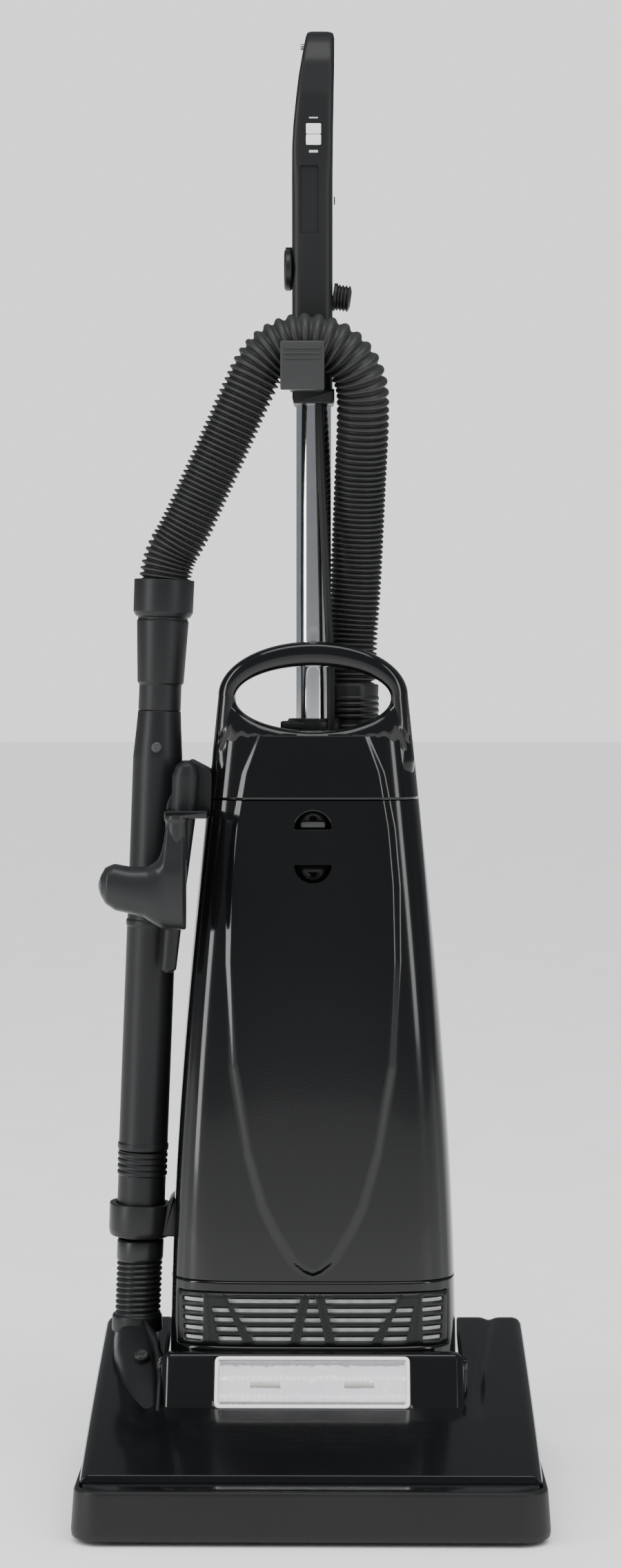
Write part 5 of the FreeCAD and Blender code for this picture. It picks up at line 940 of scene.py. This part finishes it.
clip_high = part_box("wand_clip")[1]
RING_LOW, SOCKET_FOOT = 192, 190
ring_level = RING_LOW - SOCKET_FOOT
ring = turned("clip_ring", [(ring_level, 20.4), (ring_level, 24.4), (ring_level + 5, 25.6),
                            (ring_level + 27, 25.8),
                            (ring_level + 27, 20.4)], WAND_FOOT, WAND_WAY, 96, 1.2 * MM)
finished(ring, "canister", "satin_black", satin_black, "wand_clip")
arm_outline = rounded_line([(-0.124, 0.193), (clip_high.x + 1 * MM, 0.193),
                            (clip_high.x, clip_high.z - 4 * MM),
                            (-0.119, 0.221)], 2 * MM, 4, closed=True)
clip_arm = upright_slab("clip_arm", arm_outline, 0.0555, clip_high.y - 2 * MM, 1.5 * MM)
finished(clip_arm, "canister", "satin_black", satin_black)

# ---- Lower duct: a short bellows hose from the wand socket down to the elbow that opens into the nozzle.
# The elbow is a moulded boot whose tail and fin run forward over the hood to a point.

DUCT_X, DUCT_Y = -0.1449, 0.072
BELLOWS_LOW, BELLOWS_HIGH, BELLOWS_RIBS = 0.1255, 0.171, 10
levels = np.linspace(BELLOWS_LOW, BELLOWS_HIGH, BELLOWS_RIBS * 12 + 1)
share = (levels - BELLOWS_LOW) / (BELLOWS_HIGH - BELLOWS_LOW)
swell = 0.5 - 0.5 * np.cos(2 * math.pi * BELLOWS_RIBS * share)
radii = 17.2 * MM + 1.7 * MM * swell ** 0.7
levels = np.concatenate([levels, [0.1715, 0.174, 0.187, 0.1895]])
radii = np.concatenate([radii, np.array([18.6, 19.2, 19.2, 18.4]) * MM])
turn = np.linspace(0, 2 * math.pi, 72, endpoint=False)
drift = (levels - levels[0]) * math.tan(WAND_TILT)
bellows_points = np.stack([
    DUCT_X + drift[:, None] + radii[:, None] * np.cos(turn), DUCT_Y + radii[:, None] * np.sin(turn),
    np.broadcast_to(levels[:, None], (len(levels), len(turn)))], -1)
bellows = surface("duct_bellows", bellows_points, around=True, crisp=60)
settled(walled(bellows, 1.2 * MM))
bellows_plastic = plastic("hose_plastic_lower", (0.014, 0.0145, 0.015), 0.3, 0.02 * MM, 0.8 * MM)
bellows.data.materials.append(bellows_plastic)
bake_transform(bellows)
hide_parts("lower_hose")

BOOT_BACK, BOOT_TIP = 0.092, -0.056
along_boot = np.linspace(0, 1, 60)
boot_y = BOOT_BACK + (BOOT_TIP - BOOT_BACK) * along_boot
boot_mid = np.interp(along_boot, (0, 0.14, 0.35, 0.6, 1), (-0.1456, -0.1456, -0.143, -0.1365, -0.1265))
boot_half = np.interp(along_boot, (0, 0.03, 0.08, 0.14, 0.35, 0.6, 0.85, 1),
                      np.array([8, 14, 18.5, 20, 20, 17.5, 10, 3.5]) * MM)
boot_top = np.interp(along_boot, (0, 0.14, 0.27, 0.4, 0.7, 1), np.array([123, 124, 121, 112, 88, 62]) * MM)
boot_foot = np.interp(along_boot, (0, 0.5, 1), np.array([86, 66, 46]) * MM)
turn = np.linspace(0, math.pi, 41)
across = -np.sign(np.cos(turn)) * np.abs(np.cos(turn)) ** 0.6
upward = np.abs(np.sin(turn)) ** 0.6
boot_points = np.zeros((60, 41, 3))
boot_points[..., 0] = boot_mid[:, None] + boot_half[:, None] * across
boot_points[..., 1] = boot_y[:, None]
boot_points[..., 2] = boot_foot[:, None] + (boot_top - boot_foot)[:, None] * upward
boot = surface("duct_boot", boot_points, crisp=50)
settled(walled(boot, 2 * MM))
finished(boot, "floor_nozzle", "satin_black", wand_black, "duct_elbow")
collar = turned("duct_boot_collar", [(-8, 18.5), (-8, 21), (4, 20.6), (6, 19.2), (6, 17.6), (-6, 17.6)],
                (DUCT_X - 0.5 * MM, DUCT_Y, 0.1215), (0, 0, 1), ease=1 * MM)
finished(collar, "floor_nozzle", "satin_black", wand_black)
FIN_ROWS = 40
fin_share = np.linspace(0, 1, FIN_ROWS)
fin_y = 0.05 + (-0.054 - 0.05) * fin_share
fin_x = np.interp(fin_share, (0, 0.3, 0.6, 1), (-0.137, -0.127, -0.1215, -0.1225))
fin_top = np.interp(fin_share, (0, 0.3, 0.7, 1), np.array([126, 118, 91, 60]) * MM)
fin_points = np.zeros((FIN_ROWS, 8, 3))
loop_x = np.array([-1.5, -1.4, -0.8, 0, 0.8, 1.4, 1.5, 1.5]) * MM
drop = np.array([40, 1.4, 0.3, 0, 0.3, 1.4, 20, 40]) * MM
fin_points[..., 0] = fin_x[:, None] + loop_x
fin_points[..., 1] = fin_y[:, None]
fin_points[..., 2] = fin_top[:, None] - drop
fin = surface("duct_fin", fin_points, crisp=60)
finished(walled(fin, 0.5 * MM, 0), "floor_nozzle", "satin_black", wand_black)
knob_ring = turned("duct_lock", [(0, 0.01), (0, 4.6), (1.5, 6), (8, 6.4), (8, 0.01)],
                   (-0.1375, 0.0105, 0.1075),
                   (0, 0.62, -0.78), 40)
finished(knob_ring, "floor_nozzle", "satin_black", satin_black)

# ---- Tools on board: a holder on the shell's left edge carries the upholstery tool on a peg, its side horn
# turned outwards, and keeps the crevice tool upright behind it.

horn_x = np.concatenate([np.linspace(-171.5, -166, 12), np.linspace(-165, -119, 50),
                         np.linspace(-118.6, -101.5, 30)])
horn_top = np.interp(horn_x, (-171.5, -170, -166, -159, -146, -132, -124, -120.5, -118, -116.5, -102.5,
                              -101.5),
                     (486, 492, 499, 502, 499.5, 499.5, 505, 513, 528, 537, 537, 536))
horn_bottom = np.interp(horn_x, (-171.5, -170, -166, -158, -146, -135, -127, -121, -118, -102.5, -101.5),
                        (482, 477, 470, 464.5, 462, 459, 453.5, 450, 449, 449, 450))
horn_round = np.interp(horn_x, (-171.5, -169, -164, -150, -118, -104, -101.5), (2, 9, 15, 16.5, 16, 14, 9))
smoothing = np.hanning(7)[1:-1] / np.hanning(7)[1:-1].sum()
horn_top = np.convolve(np.pad(horn_top, 2, "edge"), smoothing, "valid")
turn = np.linspace(0, 2 * math.pi, 56, endpoint=False)
tall = (horn_top - horn_bottom)[:, None] / 2
level = (horn_top + horn_bottom)[:, None] / 2 + tall * np.sign(np.sin(turn)) * np.abs(np.sin(turn)) ** 0.75
depth = horn_round[:, None] * np.interp(level, (448, 462, 500, 515, 537), (1, 1, 1, 0.72, 0.6))
horn_points = np.stack([np.broadcast_to(horn_x[:, None], level.shape),
                        12 + depth * np.sign(np.cos(turn)) * np.abs(np.cos(turn)) ** 0.75, level], -1) * MM
horn = surface("upholstery_tool_body", horn_points, around=True, caps=True, crisp=60)
tool_plastic = plastic("tool_plastic", (0.014, 0.0143, 0.015), 0.3, 0.03 * MM, 1.0 * MM)
finished(horn, "upholstery", "satin_grey", tool_plastic, "upholstery_tool")
neck = turned("upholstery_tool_neck", [(505, 6.6), (505, 9.4), (535, 8.8), (537, 9.8), (541, 9.8),
                                       (541, 6.6)],
              (-0.109, 0.012, 0), (0, 0, 1), 48)
finished(neck, "upholstery", "satin_grey", tool_plastic)

crevice_levels = np.concatenate([np.linspace(412, 414.5, 5), np.linspace(416, 570, 30),
                                 572 + 12 * np.sin(np.linspace(0, 1.45, 10))])
wide = np.interp(crevice_levels, (412, 414.5, 470, 537, 572, 580, 584), (3, 6, 7.4, 10, 11, 8.5, 3))
slim = np.interp(crevice_levels, (412, 414.5, 537, 572, 580, 584), (2, 3.8, 8, 9, 7, 2.5))
lean = np.interp(crevice_levels, (412, 537, 584), (-117, -105, -102))
turn = np.linspace(0, 2 * math.pi, 40, endpoint=False)
crevice_points = np.stack([lean[:, None] + wide[:, None] * np.cos(turn), 38 + slim[:, None] * np.sin(turn),
                           np.broadcast_to(crevice_levels[:, None], (45, 40))], -1) * MM
crevice = surface("crevice_tool_body", crevice_points, around=True, caps=True, crisp=60)
finished(crevice, "crevice", "satin_black", wand_black, "crevice_tool")
holder_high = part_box("tool_holder")[1]
cradle = upright_slab("tool_cradle", rounded_line(
    [(-0.1195, 0.539), (holder_high.x, 0.536), (holder_high.x, 0.575), (-0.101, 0.585), (-0.1195, 0.548)],
    4 * MM, 5,
    closed=True), 0.049, holder_high.y, 1.5 * MM)
finished(cradle, "canister", "satin_black", wand_black, "tool_holder")
shelf = upright_slab("tool_shelf", rounded_line(
    [(-0.1185, 0.5385), (-0.084, 0.5385), (-0.084, 0.5445), (-0.1185, 0.5445)], 1.2 * MM, 4, closed=True),
    0.0035, 0.055, 1.2 * MM)
finished(shelf, "canister", "gloss_black", gloss_black)
peg = turned("tool_peg", [(511, 0.01), (511, 4.8), (513, 5.8), (539, 5.8), (539, 0.01)], (-0.109, 0.012, 0),
             (0, 0, 1), 32)
finished(peg, "canister", "satin_black", wand_black)

# ---- Upper tube and handle: a chromed steel tube stands in the cap. Two moulded halves are screwed together
# round its top and end in a closed grip; the front carries the switch and a long shallow panel.

chrome = bpy.data.materials.new("chrome_plate")
chrome.use_nodes = True
chrome_shader = chrome.node_tree.nodes["Principled BSDF"]
chrome_shader.inputs["Metallic"].default_value = 1.0
chrome_shader.inputs["Roughness"].default_value = 0.11
chrome_noise = chrome.node_tree.nodes.new("ShaderNodeTexNoise")
chrome_noise.inputs["Scale"].default_value = 60.0
chrome_ramp = chrome.node_tree.nodes.new("ShaderNodeValToRGB")
chrome_ramp.color_ramp.elements[0].color = (0.74, 0.75, 0.77, 1.0)
chrome_ramp.color_ramp.elements[1].color = (0.88, 0.88, 0.89, 1.0)
chrome_place = chrome.node_tree.nodes.new("ShaderNodeTexCoord")
chrome.node_tree.links.new(chrome_place.outputs["Object"], chrome_noise.inputs["Vector"])
chrome.node_tree.links.new(chrome_noise.outputs["Fac"], chrome_ramp.inputs["Fac"])
chrome.node_tree.links.new(chrome_ramp.outputs["Color"], chrome_shader.inputs["Base Color"])
refinished(chrome, "handle_tube")

TUBE_Y = 0.095
handle_black = plastic("handle_plastic", (0.0085, 0.0087, 0.0092), 0.42, 0.06 * MM, 0.9 * MM)


def column_half(level, side):
    """Half width of the handle: its right edge is almost straight, its left edge draws in towards
    the top."""
    left = np.interp(level, (885, 1060, 1084, 1102, 1122, 1142, 1161, 1176, 1182),
                     (17.6, 17.8, 17.6, 16.6, 14.6, 12.3, 9.2, 6.8, 5))
    right = np.interp(level, (885, 1060, 1100, 1150, 1176, 1182), (15.6, 15.6, 16.0, 16.9, 17.0, 15.5))
    return np.where(side < 0, left, right)


def lofted(name, levels, front, back, square, columns=64):
    """Upright sections: a superellipse between front and back at each level, its half widths from
    column_half."""
    turn = np.linspace(0, 2 * math.pi, columns, endpoint=False)
    unit_x = np.sign(np.cos(turn)) * np.abs(np.cos(turn)) ** square
    unit_y = np.sign(np.sin(turn)) * np.abs(np.sin(turn)) ** square
    half = column_half(levels[:, None], unit_x[None])
    x = half * unit_x
    y = ((front + back) / 2)[:, None] + ((back - front) / 2)[:, None] * unit_y
    return np.stack([x, y, np.broadcast_to(levels[:, None], x.shape)], -1) * MM


column_levels = np.concatenate([[885.0, 885.6, 887], np.linspace(889, 1172, 90), [1175, 1178, 1180.5, 1182]])
column_front = np.interp(column_levels, (885, 1125, 1155, 1170, 1178, 1182), (79, 79, 84, 91, 98, 107))
column_back = np.interp(column_levels, (885, 1045, 1061, 1075, 1140, 1161, 1172, 1182),
                        (111, 111, 107, 98, 99, 106, 117, 119))
column_points = lofted("handle_column", column_levels, column_front, column_back, 0.42)
tip = column_points[-1].mean(0)
column_points[0] = column_points[0] * 0.97 + column_points[0].mean(0) * 0.03
column_points[-1] = column_points[-1] * 0.8 + tip * 0.2
column = surface("handle_column", column_points, around=True, caps=True, crisp=50)
PANEL_LEFT, PANEL_RIGHT, PANEL_LOW, PANEL_HIGH = -0.0112, 0.0042, 1.013, 1.068
panel_line = rounded_line([(PANEL_LEFT, PANEL_LOW), (PANEL_RIGHT, PANEL_LOW), (PANEL_RIGHT, PANEL_HIGH),
                           (PANEL_LEFT, PANEL_HIGH)], 2 * MM, 4, closed=True)
switch_low, switch_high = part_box("power_switch")
switch_left, switch_right = switch_low.x - 0.5 * MM, switch_high.x + 0.5 * MM
bezel_line = rounded_line([(switch_left, switch_low.z - 0.6 * MM), (switch_right, switch_low.z - 0.6 * MM),
                           (switch_right, switch_high.z + 0.6 * MM),
                           (switch_left, switch_high.z + 0.6 * MM)],
                          1 * MM, 3, closed=True)
carved(column, upright_slab("panel_cutter", panel_line, 0.07, 0.0805),
       upright_slab("switch_cutter", bezel_line, 0.07, 0.0885))
finished(column, "canister", "satin_black", handle_black, "handle_left", "handle_right")

outer_line = np.array([(104, 1018), (122, 1052), (136, 1084), (143.5, 1120), (142.5, 1152), (131, 1176),
                       (110, 1180), (96, 1172)])
inner_line = np.array([(97, 1040), (110, 1064), (121, 1090), (128, 1118), (127, 1148), (118, 1162),
                       (106, 1160), (99, 1150)])
marks = np.linspace(0, 7, 8)
fine = np.linspace(0, 7, 90)
smooth = np.array([np.interp(fine, marks, line) for line in (*outer_line.T, *inner_line.T)])
window = np.hanning(15)[1:-1] / np.hanning(15)[1:-1].sum()
smooth = np.array([np.convolve(np.pad(line, 6, "edge"), window, "valid") for line in smooth])
turn = np.linspace(0, 2 * math.pi, 48, endpoint=False)
reach = np.sign(np.cos(turn)) * np.abs(np.cos(turn)) ** 0.55
aside = np.sign(np.sin(turn)) * np.abs(np.sin(turn)) ** 0.55
mid_y, mid_z = (smooth[0] + smooth[2]) / 2, (smooth[1] + smooth[3]) / 2
arm_y, arm_z = (smooth[0] - smooth[2]) / 2, (smooth[1] - smooth[3]) / 2
grip_y = mid_y[:, None] + arm_y[:, None] * reach
grip_z = mid_z[:, None] + arm_z[:, None] * reach
grip_x = column_half(grip_z, aside[None]) * aside * 0.985
grip_points = np.stack([grip_x, grip_y, grip_z], -1) * MM
finished(surface("grip_loop", grip_points, around=True, caps=True, crisp=50), "canister", "satin_black",
         handle_black)
for number, level in enumerate((0.905, 1.042)):
    head = turned(f"handle_screw_cap_{number}",
                  [(-0.2, 0.01), (-0.2, 3.4), (0.8, 3.2), (0.8, 1.3), (0.3, 1.1), (0.3, 0.01)],
                  (0.0167, 0.098, level), (1, 0, 0), 28, 0.2 * MM)
    finished(head, "canister", "satin_black", satin_black)
steel = plastic("zinc_steel", (0.46, 0.47, 0.48), 0.3, 0.01 * MM, 0.7 * MM, mottle=0.15, metallic=1.0)
refinished(steel, "handle_screws")

white_plastic = plastic("white_switch_plastic", (0.82, 0.83, 0.82), 0.35, 0.01 * MM, 0.6 * MM, mottle=0.03)
switch_middle = (switch_low.z + switch_high.z) / 2
for name, low, high, proud_by in (("upper", switch_middle + 0.35 * MM, switch_high.z, 0.8 * MM),
                                  ("lower", switch_low.z, switch_middle - 0.35 * MM, 0.2 * MM)):
    key_line = rounded_line([(switch_low.x, low), (switch_high.x, low), (switch_high.x, high),
                             (switch_low.x, high)], 0.8 * MM, 3, closed=True)
    key = upright_slab(f"switch_key_{name}", key_line, switch_low.y + proud_by, switch_high.y, 0.6 * MM)
    finished(key, "switch", "white_plastic", white_plastic)
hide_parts("power_switch")
mark_print = plastic("pad_print", (0.55, 0.56, 0.57), 0.5, 0.01 * MM, 0.5 * MM, mottle=0.05)
for name, level, height in (("upper", switch_high.z + 4.6 * MM, 0.5 * MM),
                            ("lower", switch_low.z - 5.2 * MM, 1.0 * MM)):
    mark = upright_slab(f"switch_mark_{name}", rounded_line(
        [(-3.6 * MM, level - height), (3.6 * MM, level - height), (3.6 * MM, level + height),
         (-3.6 * MM, level + height)],
        0.3 * MM, 3, closed=True), 0.07895, 0.0795)
    finished(mark, "canister", "white_plastic", mark_print)

# ---- Fittings on the tube and handle: the collar that closes the handle, the steel band and screw knob that
# hold the tube in the cap, the cord gland, the swivelling cord hook and the block on which the hose rests.

collar_low, collar_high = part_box("handle_collar")
collar_top = upright_slab("handle_collar_block", rounded_line(
    [(-0.0158, 0.874), (0.0158, 0.874), (0.0172, 0.878), (0.0172, 0.886), (-0.0172, 0.886),
     (-0.0172, 0.878)], 1 * MM, 4,
    closed=True), collar_low.y, collar_high.y, 1.5 * MM)
finished(collar_top, "canister", "satin_black", satin_black, "handle_collar")
refinished(steel, "tube_knob")
band_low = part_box("tube_band")[0]
band_ring = turned("tube_band_ring", [(0, 14.4), (0, 20.4), (1.5, 22.3), (9.5, 22.3), (13, 20.6),
                                      (13, 14.4)],
                   (0.0, TUBE_Y, band_low.z), (0, 0, 1), 72)
finished(band_ring, "canister", "satin_black", satin_black, "tube_band")
bolt = turned("tube_band_bolt", [(0, 0.01), (0, 4.6), (2, 5.2), (26, 5.2), (26, 0.01)],
              (-0.027, 0.0795, band_low.z + 6 * MM),
              (1, 0, 0), 32)
finished(bolt, "canister", "satin_black", satin_black)

gland_low, gland_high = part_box("cord_gland")
gland_level = (gland_low.z + gland_high.z) / 2
gland = turned("gland_sleeve", [(-1, 0.01), (-1, 11.4), (2, 11.4), *ribs(2.4, 4, 2.8, 9.2, 10.6), (14, 6.2),
                                (14, 0.01)],
               (gland_low.x, TUBE_Y, gland_level + 1.5 * MM), (1, 0, -0.14), 48, 0.4 * MM)
lead_rubber = plastic("lead_rubber_dark", (0.012, 0.012, 0.0125), 0.5, 0.03 * MM, 0.6 * MM)
finished(gland, "canister", "lead_rubber", lead_rubber, "cord_gland")

hook_low, hook_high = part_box("upper_cord_hook")
hook_level = hook_low.z + 17 * MM
hook_disc = turned("cord_hook_disc", [(0, 0.01), (0, 15.6), (1.4, 17), (5, 17), (6.5, 15.6), (6.5, 11),
                                      (5, 10.4), (5, 0.01)],
                   (hook_high.x, TUBE_Y, hook_level), (-1, 0, 0), 64, 0.6 * MM)
finished(hook_disc, "cord_hook", "satin_black", satin_black, "upper_cord_hook")
turn = np.linspace(0, 2 * math.pi, 24, endpoint=False)
arm_places = np.array([(TUBE_Y, hook_level), (0.11, hook_level), (0.124, hook_level + 1 * MM),
                       (0.130, hook_level + 7 * MM), (0.130, hook_level + 23 * MM)])
arm_way = np.gradient(arm_places, axis=0)
arm_way /= np.linalg.norm(arm_way, axis=1, keepdims=True)
arm_side = np.stack([-arm_way[:, 1], arm_way[:, 0]], 1)
arm_wide = np.array([8, 8, 7, 4.5, 3.5]) * MM
arm_mid_x = (hook_low.x + hook_high.x) / 2
arm_points = np.zeros((5, 24, 3))
arm_points[..., 0] = arm_mid_x + 3 * MM * np.sign(np.cos(turn)) * np.abs(np.cos(turn)) ** 0.5
bulge = np.sign(np.sin(turn)) * np.abs(np.sin(turn)) ** 0.5
arm_points[..., 1:] = arm_places[:, None] + arm_side[:, None] * (arm_wide[:, None] * bulge)[..., None]
finished(surface("cord_hook_arm", arm_points, around=True, caps=True, crisp=50), "cord_hook", "satin_black",
         satin_black)

rest_low, rest_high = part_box("hose_rest")
PLATE_LOW, PLATE_HIGH, PLATE_LEFT, PLATE_RIGHT = 0.8812, 0.9202, -0.0262, 0.0092
rest_grey = plastic("rest_plastic", (0.030, 0.0305, 0.031), 0.42, 0.08 * MM, 0.9 * MM)
plate = upright_slab("hose_rest_plate", rounded_line(
    [(PLATE_LEFT, PLATE_LOW), (PLATE_RIGHT, PLATE_LOW), (PLATE_RIGHT, PLATE_HIGH), (PLATE_LEFT, PLATE_HIGH)],
    1.6 * MM, 4,
    closed=True), rest_low.y, rest_low.y + 6.5 * MM, 1.2 * MM)
finished(plate, "canister", "satin_grey", rest_grey, "hose_rest")
for number in range(3):
    level = PLATE_HIGH - (6 + 4 * number) * MM
    bar = upright_slab(f"hose_rest_rib_{number}", rounded_line(
        [(PLATE_LEFT + 3 * MM, level - 0.7 * MM), (PLATE_RIGHT - 3 * MM, level - 0.7 * MM),
         (PLATE_RIGHT - 3 * MM, level + 0.7 * MM), (PLATE_LEFT + 3 * MM, level + 0.7 * MM)], 0.5 * MM, 3,
         closed=True),
        rest_low.y - 0.7 * MM, rest_low.y + 1 * MM, 0.4 * MM)
    finished(bar, "canister", "satin_grey", rest_grey)
shelf_x = np.array([PLATE_LEFT + 7 * MM, PLATE_RIGHT - 1 * MM])
shelf_line = rounded_line([(shelf_x[0], 0.8835), (shelf_x[1], 0.8835), (shelf_x[1], 0.8915),
                           (shelf_x[0], 0.8915)],
                          1.2 * MM, 4, closed=True)
shelf = upright_slab("hose_rest_shelf", shelf_line, rest_low.y + 3 * MM, rest_high.y, 0.8 * MM)
finished(shelf, "canister", "satin_grey", rest_grey)

port_low, port_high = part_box("hose_port")
port_middle = (port_low + port_high) / 2
port_tall = (port_high.z - port_low.z) / MM
port = turned("hose_port_cuff", [(0, 17.2), (0, 23.4), (2, 24.2), (6, 24.2), (8, 23),
                                 *ribs(12, 4, 5, 22.6, 23.4),
                                 (port_tall - 1, 23), (port_tall, 22), (port_tall, 21.6), (6, 17.2)],
              (port_middle.x, port_middle.y, port_low.z), (0, 0, 1), 72, 0.5 * MM)
finished(port, "canister", "satin_black", satin_black, "hose_port")

# ---- Running gear: soft tyres on hard wheels, the release pedal and the moulded chassis under the hood. The
# sole plate, its steel glides and the brush roll's bearings are screwed to the chassis.

tyre_rubber = plastic("tyre_rubber_soft", (0.014, 0.014, 0.0145), 0.6, 0.15 * MM, 0.9 * MM)
refinished(tyre_rubber, "rear_tyre_left", "rear_tyre_right", "door_seal")
refinished(satin_grey, "rear_wheel_left", "rear_wheel_right")
refinished(steel, "wheel_axles", "pivot_pins", "motor_bearings", "glide_runners")
refinished(satin_black, "chassis", "motor_mounts", "motor_housing", "motor_pulley", "lower_cord_hook")
refinished(tyre_rubber, "drive_belt")
sole_black = plastic("sole_plastic", (0.011, 0.011, 0.0115), 0.4, 0.05 * MM, 0.9 * MM)
refinished(sole_black, "sole_plate", "release_pedal")

# ---- Brush roll: a turned hardwood core with two helical rows of nylon tufts, driven by the flat belt from
# the motor's pulley.

wood = plastic("turned_hardwood", (0.35, 0.20, 0.09), 0.55, 0.12 * MM, 3.0 * MM, mottle=0.5)
refinished(wood, "brush_roll")
nylon = plastic("nylon_tufts", (0.03, 0.03, 0.032), 0.6, 0.3 * MM, 0.4 * MM, mottle=0.5)
refinished(nylon, "brush_bristles")
refinished(satin_grey, "brush_bearings")

# ---- Inside the canister: a series motor with a copper field winding and an alloy fan, the foam pad over
# it and the paper bag on its spigot.

copper = plastic("enamelled_copper", (0.56, 0.22, 0.08), 0.35, 0.12 * MM, 0.5 * MM, mottle=0.4, metallic=0.8)
refinished(copper, "motor_field")
refinished(steel, "motor_armature")
alloy = plastic("cast_alloy", (0.55, 0.56, 0.57), 0.42, 0.08 * MM, 0.9 * MM, mottle=0.2, metallic=1.0)
refinished(alloy, "motor_fan")
foam_grey = plastic("open_foam", (0.07, 0.07, 0.072), 0.95, 0.5 * MM, 0.7 * MM, mottle=0.6)
refinished(foam_grey, "pre_filter")
bag_paper = plastic("bag_paper", (0.55, 0.50, 0.40), 0.85, 0.15 * MM, 1.5 * MM, mottle=0.15)
refinished(bag_paper, "dust_bag")

# ---- Ground: a plain pale floor under the machine.

FLOOR_HALF, FLOOR_LINES = 24.0, 9
floor_reach = np.linspace(-FLOOR_HALF, FLOOR_HALF, FLOOR_LINES)
floor_points = np.zeros((FLOOR_LINES, FLOOR_LINES, 3))
floor_points[..., 0], floor_points[..., 1] = floor_reach[None], floor_reach[:, None]
ground = surface("studio_floor", floor_points)
floor_white = plastic("studio_floor_white", (0.9, 0.9, 0.9), 0.6, 0.01 * MM, 8 * MM, mottle=0.02)
ground.data.materials.append(floor_white)
